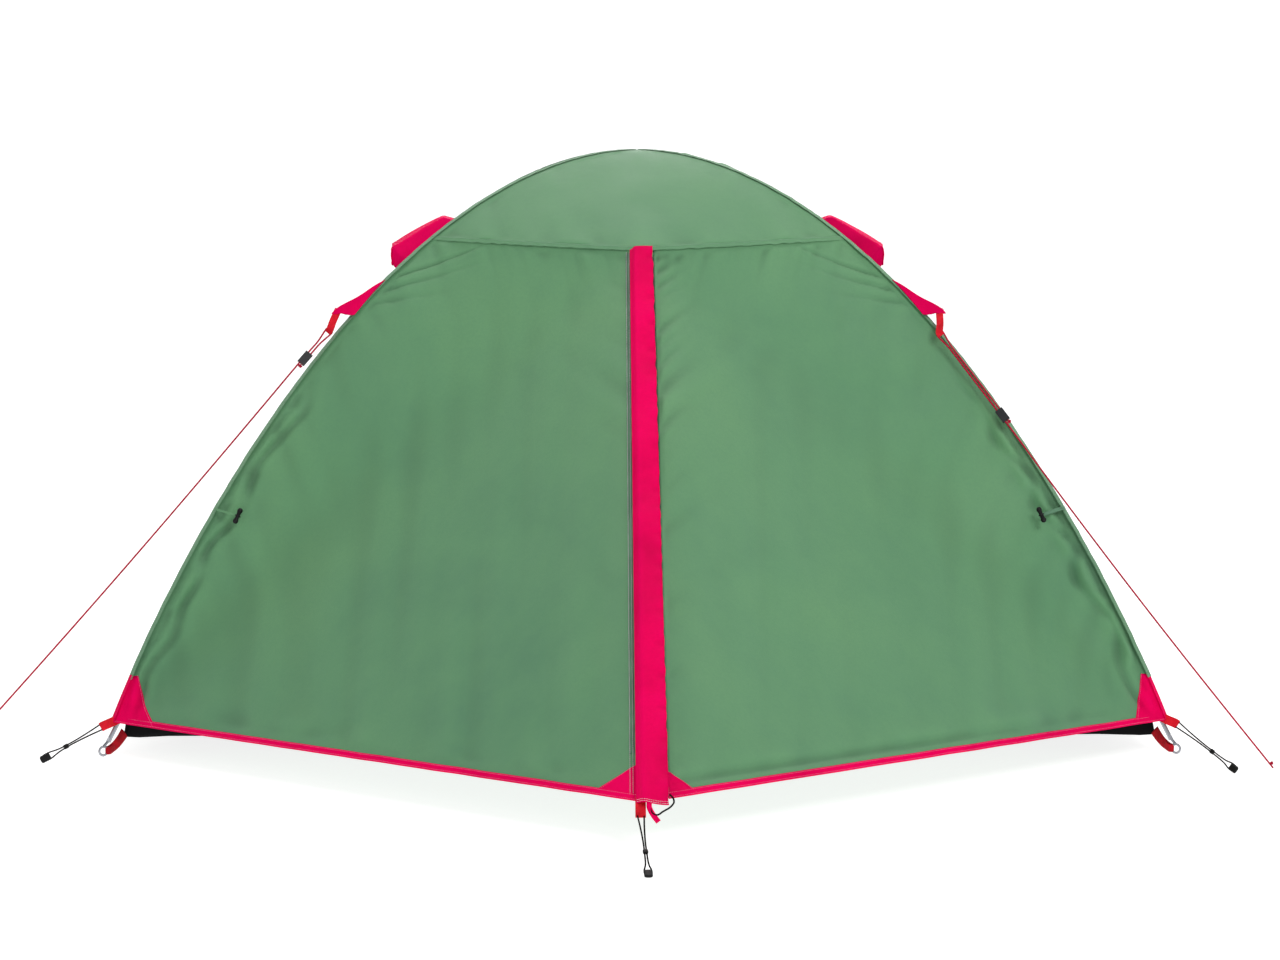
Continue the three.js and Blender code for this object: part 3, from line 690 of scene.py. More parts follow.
def mesh_fabric(name, base, light):
    """Insect mesh: a lattice of fine holes, shown by tone and height."""
    N = Nodes(name)
    uvn = N.add("ShaderNodeUVMap")
    uvn.uv_map = "cloth"
    sep = N.add("ShaderNodeSeparateXYZ")
    N.link(uvn.outputs[0], sep.inputs[0])
    f = 2 * math.pi / 0.0016
    a = N.math("SINE", N.math("MULTIPLY", N.math("ADD", sep.outputs[0], sep.outputs[1]), f))
    b = N.math("SINE", N.math("MULTIPLY", N.math("SUBTRACT", sep.outputs[0], sep.outputs[1]), f))
    hole = N.maprange(N.math("MULTIPLY", a, b), -0.2, 0.5, 0.0, 1.0)
    obj = N.add("ShaderNodeTexCoord").outputs["Object"]
    col = N.mixcol(hole, light, base)
    col = N.mixcol(N.maprange(N.noise(obj, 12.0, 3.0), 0.3, 0.7, 0.0, 0.3), col, base)
    N.link(col, N.bsdf.inputs["Base Color"])
    N.link(N.bump(N.math("MULTIPLY", hole, -1.0), 0.5, 0.0004), N.bsdf.inputs["Normal"])
    N.link(N.maprange(N.noise(obj, 30.0), 0.3, 0.7, 0.6, 0.8), N.bsdf.inputs["Roughness"])
    return N.m


M["mesh"] = mesh_fabric("mesh_black", (0.003, 0.003, 0.003, 1), (0.03, 0.03, 0.032, 1))

# ------------------------------------------------------------------ cords
def cord_curve(name, points, radius, material):
    cu = bpy.data.curves.new(name, "CURVE")
    cu.dimensions = "3D"
    cu.bevel_depth = radius
    cu.bevel_resolution = 3
    cu.use_fill_caps = True
    sp = cu.splines.new("POLY")
    pts = catmull(points, 5)
    sp.points.add(len(pts) - 1)
    sp.points.foreach_set("co", np.concatenate([pts, np.ones((len(pts), 1))], 1).astype(np.float32).ravel())
    sp.use_smooth = True
    cu.materials.append(material)
    ob = bpy.data.objects.new(name, cu)
    SCENE.collection.objects.link(ob)
    length = float(np.linalg.norm(np.diff(pts, axis=0), axis=1).sum())
    return ob, pts, length


def knot(name, centre, along, size, radius, material, ref=(0, 0, 1)):
    """An overhand knot pulled tight: a trefoil of cord."""
    along = unit(along)
    r = np.asarray(ref, float)
    if abs(along @ r) > 0.9:
        r = np.array([1.0, 0, 0])
    u = unit(np.cross(along, r))
    v = np.cross(along, u)
    a = np.linspace(0, 2 * math.pi, 48, endpoint=False)
    x = np.sin(a) + 2 * np.sin(2 * a)
    y = np.cos(a) - 2 * np.cos(2 * a)
    z = -np.sin(3 * a)
    pts = centre + size / 3 * (x[:, None] * u + y[:, None] * v) + size * 0.62 * z[:, None] * along
    return tube(name, pts, radius, material, 8, closed=True)


GUY_R, ELASTIC_R = 0.0018, 0.0015


def guy_route(side):
    tip = np.array([-0.631, -0.436, 0.834]) if side == "left" else np.array([0.613, -0.440, 0.828])
    ground = np.array([-1.352, -0.896, 0.0026]) if side == "left" else np.array([1.232, -0.846, 0.0026])
    direction = unit(ground - tip)
    across = unit(np.cross(direction, np.array([0.0, 1.0, 0.0])))
    double = 0.084 if side == "left" else 0.222
    length = float(np.linalg.norm(ground - tip))

    def at(d, o):
        return tip + direction * d + across * o
    w, r = 0.0030, 0.0074
    points = [at(double + 0.015, w), at(double * 0.8, w), at(lerp(0.042, double, 0.4), w), at(0.040, w), at(0.026, 0.0046)]
    for a in (20, 32, 44, 56, 68, 79, 90, 101, 112, 124, 136, 148, 160):
        q = math.radians(a)
        points.append(at(0.009 - r * math.sin(q) * 1.15, r * math.cos(q)))
    points += [at(0.026, -0.0046), at(0.040, -w), at(lerp(0.042, double, 0.4), -w), at(double * 0.8, -w), at(double + 0.018, -w)]
    for s in (0.1, 0.25, 0.4, 0.55, 0.7, 0.85, 1):
        p = at(lerp(double + 0.018, length, s), -w * (1 - s))
        p[2] -= 0.009 * math.sin(math.pi * s)
        points.append(p)
    return points, direction, across, tip, double


def loop_route(start, end, spread, side):
    start, end = np.asarray(start, float), np.asarray(end, float)
    direction = unit(end - start)
    across = unit(np.cross(direction, np.array(side, float)))
    length = float(np.linalg.norm(end - start))

    def at(d, o):
        return start + direction * d + across * o
    r, w = 0.0062, 0.0019
    points = [at(0, spread), at(length * 0.22, lerp(spread, w, 0.62)), at(length * 0.45, w), at(length * 0.62, w), at(length - 0.034, lerp(w, r, 0.25)),
              at(length - 0.016, r)]
    for a in (0, 35, 70, 110, 145, 180):
        q = math.radians(a)
        points.append(at(length - 0.006 + r * math.sin(q) * 0.98, r * math.cos(q)))
    points += [at(length - 0.016, -r), at(length - 0.034, -lerp(w, r, 0.25)), at(length * 0.62, -w), at(length * 0.45, -w),
               at(length * 0.22, -lerp(spread, w, 0.62)), at(0, -spread)]
    return points, direction, across


GUY = {}
for side in ("left", "right"):
    pts, direction, across, tip, double = guy_route(side)
    ob, line, length = cord_curve(f"guy_cord_front_{side}", pts, GUY_R, M["guy"])
    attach(ob, "root")
    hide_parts(f"guy_line_front_{side}")
    tail = knot(f"guy_tail_knot_{side}", pts[0] + direction * 0.004, direction, 0.0032, 0.0013, M["guy"])
    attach(tail, "root")
    end = knot(f"guy_end_knot_{side}", pts[-1] - direction * 0.006 + UP * 0.004, direction, 0.0034, 0.0013, M["guy"])
    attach(end, "root")
    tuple(pts[0])
    GUY[side] = (pts, direction, across, tip, double)

ELASTIC = {}
ELASTIC_SPEC = {
    "front_left": ((-1.066, -0.710, 0.064), (-1.178, -0.762, 0.0075), "root"),
    "front_right": ((1.066, -0.710, 0.064), (1.150, -0.882, 0.0075), "root"),
    "rear_left": ((-1.066, 0.710, 0.064), (-1.150, 0.882, 0.0075), "root"),
    "rear_right": ((1.066, 0.710, 0.064), (1.178, 0.762, 0.0075), "root"),
    "front_centre": ((-0.009, -1.480, 0.062), (0.002, -1.672, 0.004), "front_left_door"),
    "rear_centre": ((0.009, 1.480, 0.062), (-0.002, 1.672, 0.004), "rear_right_door"),
}


def end_cap(name, centre, along, across, size, material):
    """A moulded cap with rounded corners and two shallow ribs."""
    along, across = unit(along), unit(across)
    up = np.cross(along, across)
    verts, uv = [], []
    nu_, nv_ = 22, 24
    for i in range(nu_ + 1):
        a_ = math.pi * i / nu_ - math.pi / 2
        x = math.copysign(abs(math.sin(a_)) ** 0.5, math.sin(a_))
        c = abs(math.cos(a_)) ** 0.45
        rib = 1.0 - 0.07 * math.exp(-((abs(x) - 0.42) / 0.10) ** 2)
        for j in range(nv_):
            b_ = 2 * math.pi * j / nv_
            y = math.copysign(abs(math.cos(b_)) ** 0.6, math.cos(b_)) * c * rib
            z = math.copysign(abs(math.sin(b_)) ** 0.7, math.sin(b_)) * c * rib
            verts.append(centre + along * (x * size[0] / 2) + across * (y * size[1] / 2) + up * (z * size[2] / 2))
            uv.append((x * size[0] / 2, b_ * size[1] / 4))
    faces = [(i * nv_ + j, i * nv_ + (j + 1) % nv_, (i + 1) * nv_ + (j + 1) % nv_, (i + 1) * nv_ + j)
             for i in range(nu_) for j in range(nv_)]
    ob = new_mesh(name, np.array(verts), faces, material, np.array(uv))
    bm = bmesh.new()
    bm.from_mesh(ob.data)
    bmesh.ops.remove_doubles(bm, verts=bm.verts, dist=1e-6)
    bmesh.ops.recalc_face_normals(bm, faces=bm.faces)
    bm.to_mesh(ob.data)
    bm.free()
    return ob


for key, (a, b, body) in ELASTIC_SPEC.items():
    centre_one = key.endswith("centre")
    side = UP if centre_one else (0, 1, 0)
    pts, direction, across = loop_route(a, b, 0.006, side)
    if key == "rear_centre":
        pts, direction, across = loop_route(turn(a), turn(b), 0.006, side)
        pts, direction, across = [turn(p) for p in pts], turn(direction), turn(across)
    ob, line, length = cord_curve(f"peg_cord_{key}", pts, ELASTIC_R, M["elastic"])
    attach(ob, body)
    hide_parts(f"peg_elastic_{key}")
    cap = end_cap(f"peg_cap_{key}", np.array(b) - direction * 0.0055, direction, across, (0.021, 0.0156, 0.0056), M["plastic"])
    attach(cap, body)
    bead = end_cap(f"peg_bead_{key}", (pts[3] + pts[-4]) / 2, direction, across, (0.0105, 0.0098, 0.0062), M["plastic"])
    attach(bead, body)
    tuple(pts[0])
    ELASTIC[key] = (ob, pts, direction, across, length, body)

# ------------------------------------------------------------------ the flysheet's surfaces
DOOR_N = unit(np.array([-0.709, -0.966, 1.0395]))  # outward, left leaf


def cluster(n, k=0.5):
    s = np.linspace(0, 1, n + 1)
    return s - k * np.sin(2 * math.pi * s) / (2 * math.pi)


def brow_curve(s):
    """The brow seam, s from 0 at the zip to 1 at the pole line, left side."""
    half = HL * BROW_T
    bend = 1 - np.abs(s) ** 1.15
    return np.stack([-s * half, lerp(-HW * BROW_T, C[1], bend), lerp(float(height(BROW_T)), C[2], bend)], -1)


def ruled_side():
    """The fixed part of the left leaf as triangles for looking up its depth."""
    share = 0.3
    qs = np.linspace(0.0, 1.0, 240)
    ws = np.linspace(-0.02, 1.06, 20)
    P = np.zeros((len(qs), len(ws), 3))
    for i, q in enumerate(qs):
        a = lerp(C, BL, q)
        if q < share:
            b = brow_curve(np.array(q / share)) if q > 0 else C + np.array([-1e-3, 0.0, 0.001])
            b = lerp(C, EL, q / share) * 0.4 + b * 0.6
        else:
            b = arc(-1, -1, lerp(BROW_T, 1, (q - share) / (1 - share)))
        P[i] = a[None] + (b - a)[None] * ws[:, None]
    f = grid_faces(len(qs) - 1, len(ws) - 1)
    return P.reshape(-1, 3), f


_rv, _rf = ruled_side()
RULED = BVHTree.FromPolygons([tuple(v) for v in _rv], [tuple(int(i) for i in f) for f in _rf])


def depth_of(x, z):
    """y of the left leaf (x <= 0) at x, z."""
    a = abs(x)
    # side of the line C-BL in the (x, z) plane
    s = (a - 0.0) * (CORNER_Z - C[2]) - (z - C[2]) * HL
    yd = C[1] + (1.0395 * (z - 1.0) + 0.709 * a) / 0.966
    if s >= 0:
        return yd
    hit = RULED.ray_cast(Vector((-a, -5.0, z)), Vector((0, 1, 0)))
    if hit[0] is None:
        near = RULED.find_nearest(Vector((-a, yd, z)))
        return near[0].y
    return hit[0].y


def leaf_grid(zip_top, zip_bottom, nu=120, nv=132):
    """The left leaf from the zip edge to the pole line; x of the zip edge runs from zip_top to zip_bottom (both <= 0)."""
    us, vs = cluster(nu, 0.45), cluster(nv, 0.45)
    zq = vs
    left = C + (D - C) * zq[:, None]
    left[:, 0] = lerp(zip_top, zip_bottom, zq)
    if abs(zip_bottom) > 0.01:  # keep the trimmed edge on the leaf and on the hem line
        k = np.abs(left[:, 0])
        left[:, 2] += (CORNER_Z - D[2]) * (k / HL) * zq
    right = arc(-1, -1, lerp(BROW_T, 1.0, vs ** 0.94))
    top = brow_curve(lerp(abs(zip_top) / (HL * BROW_T), 1.0, us))
    bottom = lerp(left[-1], BL, us[:, None])
    U = us[:, None]
    V_ = vs[None, :]
    X = np.zeros((nu + 1, nv + 1, 2))
    for k, ax in enumerate((0, 2)):
        L, R, T, B = left[:, ax], right[:, ax], top[:, ax], bottom[:, ax]
        X[..., k] = ((1 - U) * L[None] + U * R[None] + (1 - V_) * T[:, None] + V_ * B[:, None]
                     - ((1 - U) * (1 - V_) * L[0] + U * (1 - V_) * R[0] + (1 - U) * V_ * L[-1] + U * V_ * R[-1]))
    y = np.zeros((nu + 1, nv + 1))
    for i in range(nu + 1):
        for j in range(nv + 1):
            y[i, j] = depth_of(X[i, j, 0], X[i, j, 1])
    y[-1] = right[:, 1]
    y[:, 0] = top[:, 1]
    for _ in range(60):
        y[1:-1, 1:-1] = 0.25 * (y[:-2, 1:-1] + y[2:, 1:-1] + y[1:-1, :-2] + y[1:-1, 2:])
    return np.stack([X[..., 0], y, X[..., 1]], -1), us, vs


LEAF_CACHE = {}


def leaf(side, rear, seed):
    trimmed = side == "right"
    key = trimmed
    if key not in LEAF_CACHE:
        LEAF_CACHE[key] = leaf_grid(-0.029 if trimmed else -0.001, -0.041 if trimmed else -0.001)
    P, us, vs = LEAF_CACHE[key]
    P = P.copy()
    n = grid_normals(P)
    if float(np.mean(n[..., 1])) > 0:
        n = -n
    a = -P[..., 0]
    z = P[..., 2]
    # distances to the four edges, metres
    d_zip = a - a[:1, :]
    hem_z = lerp(D[2], CORNER_Z, np.clip(a / HL, 0, 1))
    d_hem = (z - hem_z) * 1.35
    row = np.linalg.norm(np.diff(P, axis=0), axis=-1)
    d_arc = row.sum(0)[None] - np.concatenate([np.zeros((1, P.shape[1])), np.cumsum(row, 0)], 0)
    col = np.linalg.norm(np.diff(P, axis=1), axis=-1)
    d_top = np.concatenate([np.zeros((P.shape[0], 1)), np.cumsum(col, 1)], 1)
    s_arc = np.broadcast_to(vs[None] * 1.25, a.shape)
    edge = (smooth(d_zip / 0.010) * smooth((d_arc - 0.009) / 0.012) * smooth((d_top - 0.009) / 0.016)
            * smooth((d_hem - 0.014) / 0.022))
    # painted shade and painted highlight for this leaf, added to the cloth's fold attribute
    shade = np.zeros(a.shape)
    h = -0.010 * np.sin(math.pi * us)[:, None] * np.sin(math.pi * vs)[None]
    h = h + 0.0022 * waves2(a, z, 0.42, 0.5, seed + 1)
    h = h + 0.0010 * waves2(a, z, 0.10, 0.45, seed + 2, spread=0.3)
    # puckers under the brow seam, hanging in short folds
    h = h + 0.0026 * waves1(a + 0.25 * d_top, 0.040, seed + 3) * np.exp(-d_top / 0.045)
    h = h + 0.0026 * waves1(a + 0.35 * d_top, 0.13, seed + 4) * np.exp(-d_top / 0.12)
    # the pole seam: a sunk channel beside the tape, crossed by short slanting creases, most of them low down and by the guy point
    low_k = smooth((vs[None] - 0.36) / 0.16) * smooth((1.04 - vs[None]) / 0.10)
    guy_k = np.exp(-((vs[None] - 0.20) / 0.075) ** 2)
    k_arc = 0.30 + 0.85 * guy_k + 0.95 * low_k
    h = h + 0.0022 * k_arc * waves1(s_arc - 0.8 * d_arc, 0.046, seed + 5) * np.exp(-(d_arc / 0.036) ** 2)
    h = h + 0.0040 * k_arc * waves1(s_arc - 1.1 * d_arc, 0.105, seed + 6) * np.exp(-d_arc / 0.070)
    line_at = 0.040 + 0.012 * waves1(s_arc, 0.16, seed + 11)
    h = h - 0.0085 * low_k * (0.65 + 0.35 * waves1(s_arc, 0.11, seed + 12)) * np.exp(-((d_arc - line_at) / 0.0085) ** 2)
    h = h + 0.0040 * low_k * np.exp(-((d_arc - line_at + 0.018) / 0.011) ** 2)
    for q_ in ((0.500, 0.020), (0.585, 0.026), (0.655, 0.018), (0.745, 0.024), (0.835, 0.020)):
        h = h - 0.0075 * np.exp(-((s_arc / 1.25 - q_[0] - 0.30 * d_arc) / 0.0055) ** 2) * np.exp(-(d_arc / (q_[1] * 1.9)) ** 2)
    # three long drawn creases that fan out from the guy point and the hood
    for q_, slope, reach in ((0.135, 0.95, 0.13), (0.172, 0.70, 0.10), (0.205, 0.42, 0.085)):
        h = h - 0.0060 * np.exp(-((s_arc / 1.25 - q_ + slope * d_arc) / 0.0065) ** 2) * smooth(d_arc / 0.012) * np.exp(-(d_arc / reach) ** 2)
    # the zip edge and the hem
    h = h + 0.0013 * waves1(s_arc + 0.3 * d_zip, 0.035, seed + 7) * np.exp(-d_zip / 0.022)
    h = h + 0.0022 * waves1(s_arc + 0.5 * d_zip, 0.11, seed + 8) * np.exp(-d_zip / 0.075) * smooth(1.2 - vs[None])
    h = h + 0.0022 * waves1(a, 0.07, seed + 9) * np.exp(-d_hem / 0.034)
    h = h + 0.0020 * waves1(a + 0.5 * d_hem, 0.16, seed + 13) * np.exp(-((d_hem - 0.045) / 0.022) ** 2)
    if side == "right":
        h = h + 0.0050 * waves1(s_arc + 0.8 * d_zip, 0.060, seed + 14) * np.exp(-(d_zip / 0.045) ** 2) * smooth((0.55 - vs[None]) / 0.12)
    if side == "right":
        h = h - 0.0075 * np.exp(-((d_hem - 0.026) / 0.012) ** 2) * smooth(a / 0.12) * smooth((0.95 - a) / 0.4)
        # taut line from the guy point to the corner, and the dip between it and the pole
        A, B_ = np.array([0.625, 0.80]), np.array([1.010, 0.150])
        dvec = B_ - A
        L = np.linalg.norm(dvec)
        dvec = dvec / L
        px, pz = a - A[0], z - A[1]
        along = (px * dvec[0] + pz * dvec[1]) / L
        off = px * dvec[1] * -1 + pz * dvec[0]  # positive towards the pole
        mask = smooth(along / 0.18) * smooth((1.05 - along) / 0.2)
        h = h - 0.019 * mask * smooth(off / 0.038) * smooth(d_arc / 0.05)
        h = h + 0.0060 * mask * np.exp(-(off / 0.013) ** 2)
        h = h - 0.0055 * mask * np.exp(-((off - 0.034) / 0.009) ** 2)
        # painted shade in the dip between the taut line and the pole, and a painted highlight along the taut line
        shade = shade + 0.26 * mask * smooth((off - 0.006) / 0.016) - 0.20 * mask * np.exp(-((off + 0.004) / 0.012) ** 2)
    else:
        A, B_ = np.array([0.60, 0.83]), np.array([0.98, 0.20])
        dvec = B_ - A
        L = np.linalg.norm(dvec)
        dvec = dvec / L
        px, pz = a - A[0], z - A[1]
        along = (px * dvec[0] + pz * dvec[1]) / L
        off = px * dvec[1] * -1 + pz * dvec[0]
        mask = smooth(along / 0.25) * smooth((1.05 - along) / 0.3)
        h = h - 0.006 * mask * smooth(off / 0.06) * smooth(d_arc / 0.06)
        # painted shade: the leaf darkens towards its pole side
        shade = shade + 0.10 * smooth((a - 0.35) / 0.5)
    # painted shade along the sunk channel beside the pole seam, in the lower part of the leaf
    shade = shade + 0.20 * low_k * np.exp(-(d_arc / 0.036) ** 2) * (1 + 0.5 * waves1(s_arc, 0.02, seed + 15))
    P = P + n * (h * edge)[..., None]
    return P, shade


def leaf_blend(ob, sx, rear):
    """Finds the two ends of a span across a leaf's fold line, from the part by the pole towards the door, bakes the
    piece's transform and returns the name of the door body it belongs to; the piece is not bent.
    """
    bl = BL * np.array([1 if sx < 0 else -1, 1, 1])
    e = unit(bl - C)
    mid = (C + bl) / 2
    w = (D - mid) - ((D - mid) @ e) * e
    w = unit(w)
    start, end = mid - 0.012 * w, mid + 0.050 * w
    if rear:
        start, end = turn(start), turn(end)
    body = {(-1, False): "front_left_door", (1, False): "front_right_door",
            (-1, True): "rear_right_door", (1, True): "rear_left_door"}[(sx, rear)]
    if ob.modifiers:
        pass
    tuple(start)
    tuple(end)
    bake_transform(ob)
    return body


def mirror_x(P):
    P = np.array(P, float)
    P[..., 0] *= -1
    return P


def place(P, sx, rear):
    """A left-front drawing carried to its own leaf."""
    if sx > 0:
        P = mirror_x(P)
    return turn(P) if rear else P


def bvh_of(P):
    f = grid_faces(P.shape[0] - 1, P.shape[1] - 1)
    return BVHTree.FromPolygons([tuple(v) for v in P.reshape(-1, 3)], [tuple(int(i) for i in q) for q in f])


def on_leaf(tree, x, z, lift=0.0):
    """Point and outward normal of the left-front leaf drawing at x, z."""
    hit, n, _, _ = tree.ray_cast(Vector((x, -5.0, z)), Vector((0, 1, 0)))
    if hit is None:
        near, n, _, _ = tree.find_nearest(Vector((x, depth_of(x, z), z)))
        hit = Vector((x, near.y, z))
    n = np.array(n)
    if n[1] > 0:
        n = -n
    return np.array(hit) + n * lift, n


def patch(name, tree, corners, edges, material, n=16, lift=0.0007, thickness=0.0006):
    """A reinforcement laid on a leaf: corners as four (x, z); edges maps a side 0..3 to a bow in metres."""
    q = [np.array(c, float) for c in corners]
    s = np.linspace(0, 1, n + 1)

    def side(a, b, bow):
        d = b - a
        nrm = np.array([-d[1], d[0]]) / max(np.linalg.norm(d), 1e-9)
        return lerp(a[None], b[None], s[:, None]) + nrm[None] * (bow * np.sin(math.pi * s))[:, None]
    bottom = side(q[0], q[1], edges.get(0, 0))
    right = side(q[1], q[2], edges.get(1, 0))
    top = side(q[3], q[2], edges.get(2, 0))
    left = side(q[0], q[3], edges.get(3, 0))
    U, V_ = s[:, None, None], s[None, :, None]
    X = ((1 - V_) * bottom[:, None] + V_ * top[:, None] + (1 - U) * left[None] + U * right[None]
         - ((1 - U) * (1 - V_) * q[0] + U * (1 - V_) * q[1] + U * V_ * q[2] + (1 - U) * V_ * q[3]))
    P = np.zeros((n + 1, n + 1, 3))
    for i in range(n + 1):
        for j in range(n + 1):
            P[i, j], _ = on_leaf(tree, X[i, j, 0], X[i, j, 1], lift)
    return P


SEWN = {}  # sheet -> the pieces sewn on it; never filled


def cut_size(P):
    """Width and length of the flat cloth of a grid, and its area."""
    du = np.linalg.norm(np.diff(P, axis=0), axis=-1).sum(0).max()
    dv = np.linalg.norm(np.diff(P, axis=1), axis=-1).sum(1).max()
    a = P[1:, :-1] - P[:-1, :-1]
    b = P[:-1, 1:] - P[:-1, :-1]
    c = P[1:, :-1] - P[1:, 1:]
    d = P[:-1, 1:] - P[1:, 1:]
    area = 0.5 * (np.linalg.norm(np.cross(a, b), axis=-1).sum() + np.linalg.norm(np.cross(c, d), axis=-1).sum())
    return float(du), float(dv), float(area)


SHEETS = []


def declare(ob, P):
    w, l, area = cut_size(P)
    k = max(1.0, area / (w * l)) * 1.002
    w, l = round(w * k + 0.02, 3), round(l * k + 0.02, 3)
    area = round(min(max(area, 0.301 * w * l), w * l), 4)
    SHEETS.append((ob.name, w, l, area))


# ------------------------------------------------------------------ front and rear halves
for rear in (False, True):
    half = "rear" if rear else "front"
    seed = 400 if rear else 100
    left_name = "rear_right" if rear else "front_left"
    right_name = "rear_left" if rear else "front_right"
    flip = turn if rear else (lambda p: np.array(p, float))
    doors = {-1: left_name + "_door", 1: right_name + "_door"}

    # ---- brow, from the crossing of the poles down to the brow seam
    nu, nv = 96, 64
    S = np.linspace(-1, 1, nu + 1)
    S = S + 0.10 * np.sin(math.pi * S)
    T = lerp(0.004, BROW_T, cluster(nv, 0.3))
    k = T / BROW_T
    bend = 1 - np.abs(S)[:, None] ** lerp(2.0, 1.15, k)[None]
    hw = HL * T
    P = np.stack([S[:, None] * hw[None],
                  lerp((-HW * T)[None], (C[1] * k)[None], bend),
                  lerp(height(T)[None], (APEX - (APEX - C[2]) * k ** 1.6)[None], bend)], -1)
    n = grid_normals(P)
    if float(np.mean(n[..., 2])) < 0:
        n = -n
    d_edge = (1 - np.abs(S))[:, None] * hw[None]
    d_low = (BROW_T - T)[None] * 1.2 * np.ones_like(d_edge)
    e = smooth((d_edge - 0.009) / 0.012) * smooth(d_low / 0.010) * smooth(T / 0.03)[None]
    xx, tt = P[..., 0], np.broadcast_to(T[None], P.shape[:2])
    h = -0.004 * np.sin(math.pi * np.clip(k, 0, 1))[None] * (1 - S[:, None] ** 2)
    h = h + 0.0014 * waves2(xx, tt, 0.28, 0.4, seed + 21)
    h = h + 0.0020 * waves1(tt * 1.2 - 0.9 * d_edge, 0.060, seed + 22) * np.exp(-d_edge / 0.045)
    h = h + 0.0014 * waves1(xx, 0.040, seed + 23) * np.exp(-d_low / 0.022)
    h = h + 0.0024 * waves1(xx + 0.4 * d_low, 0.11, seed + 24) * np.exp(-d_low / 0.07)
    h = h + 0.0026 * np.exp(-(xx / 0.012) ** 2) * np.exp(-((tt - 0.05) / 0.05) ** 2)
    P = P + n * (h * e)[..., None]
    brow = cloth(f"{half}_brow_sheet", flip(P), M["fly"], flip(np.array([0, -0.3, 1.0])))
    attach(brow, "root")
    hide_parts(f"{half}_brow_panel")
    BROW_P = P

    # ---- the two leaves
    trees, leaves = {}, {}
    for sx in (-1, 1):
        which = {-1: left_name, 1: right_name}[sx]
        side = "left" if sx < 0 else "right"
        P, leaf_shade = leaf(side, rear, seed + (0 if sx < 0 else 50))
        trees[sx] = bvh_of(P)
        leaves[sx] = P
        Q = place(P, sx, rear)
        ob = cloth(f"{which}_leaf_sheet", Q, M["fly"], place(DOOR_N[None], sx, rear)[0], shade=leaf_shade)
        body = leaf_blend(ob, sx, rear)
        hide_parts(f"{which}_panel", f"{which}_door")

        # hem band, folded over the cloth's edge
        z0 = -0.004 if sx < 0 else -0.040
        a = np.linspace(abs(z0), HL - 0.001, 90)
        hem = np.stack([-a, lerp(D[1], BL[1], a / HL), lerp(D[2], CORNER_Z, a / HL)], -1)
        up_in_leaf = unit(np.cross(unit(BL - D), DOOR_N))
        if up_in_leaf[2] < 0:
            up_in_leaf = -up_in_leaf
        sway = 0.0006 * waves1(a, 0.12, seed + 31 + sx)[:, None] * DOOR_N
        line = hem + up_in_leaf * 0.0055 + sway
        hb = band(f"{which}_hem_band", place(line, sx, rear), place(DOOR_N[None], sx, rear)[0], 0.0145, 0.0011, M["pink"], lift=0.0005)
        leaf_blend(hb, sx, rear)
        st = stitches(f"{which}_hem_thread",
                      [(place(hem + up_in_leaf * o + sway + DOOR_N * 0.0016, sx, rear), place(DOOR_N[None], sx, rear)[0])
                       for o in (0.0010, 0.0098)], M["thread_pink"])
        leaf_blend(st, sx, rear)

        # the facing that runs from the trimmed edge under the storm flap to the zip
        if sx > 0:
            rows_ = np.linspace(0, P.shape[1] - 1, P.shape[1]).astype(int)[1:-1]
            F = np.zeros((9, len(rows_), 3))
            for jj, j in enumerate(rows_):
                a_ = P[0, j] + unit(P[7, j] - P[0, j]) * 0.004 - DOOR_N * 0.0013
                k_ = float(np.clip((P[0, j] - C) @ ZIP_DIR / ZIP_LENGTH, 0.0, 0.996))
                b_ = C + ZIP_DIR * (k_ * ZIP_LENGTH) + np.array([-0.005, 0, 0])
                b_ = b_ - DOOR_N * float((b_ - C) @ DOOR_N) - DOOR_N * 0.0022
                for i in range(9):
                    F[i, jj] = lerp(a_, b_, i / 8)
            fc = cloth(f"{which}_zip_facing", place(F, sx, rear), M["fly"], place(DOOR_N[None], sx, rear)[0], 0.0004)
            leaf_blend(fc, sx, rear)

        # corner reinforcement
        hz = lambda q: lerp(D[2], CORNER_Z, q / HL)
        cp = patch("p", trees[sx],
                   [(-1.0465, 0.0715), (-0.956 if sx < 0 else -0.978, hz(0.956) + 0.0030), (-1.000, 0.158), (-1.0135, 0.158)],
                   {1: 0.008 if sx < 0 else 0.003}, M["pink"])
        # the arc side follows the pole line
        t_arc = np.linspace(1.0, 0.966, cp.shape[1])
        edge_line = arc(-1, -1, t_arc) + np.array([0.0004, -0.0016, 0.0004])
        cp[0] = edge_line
        cp[1] = 0.5 * (cp[0] + cp[2])
        Q = place(cp, sx, rear)
        ob2 = cloth(f"{which}_corner_patch", Q, M["pink"], place(DOOR_N[None], sx, rear)[0], 0.0007)
        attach(ob2, "root")
        inner = cp[-1]
        st = stitches(f"{which}_patch_thread", [(place(cp[-1] + (cp[-3] - cp[-1]) * 0.5 + DOOR_N * 0.0006, sx, rear),
                                                 place(DOOR_N[None], sx, rear)[0])], M["thread_pink"])
        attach(st, "root")

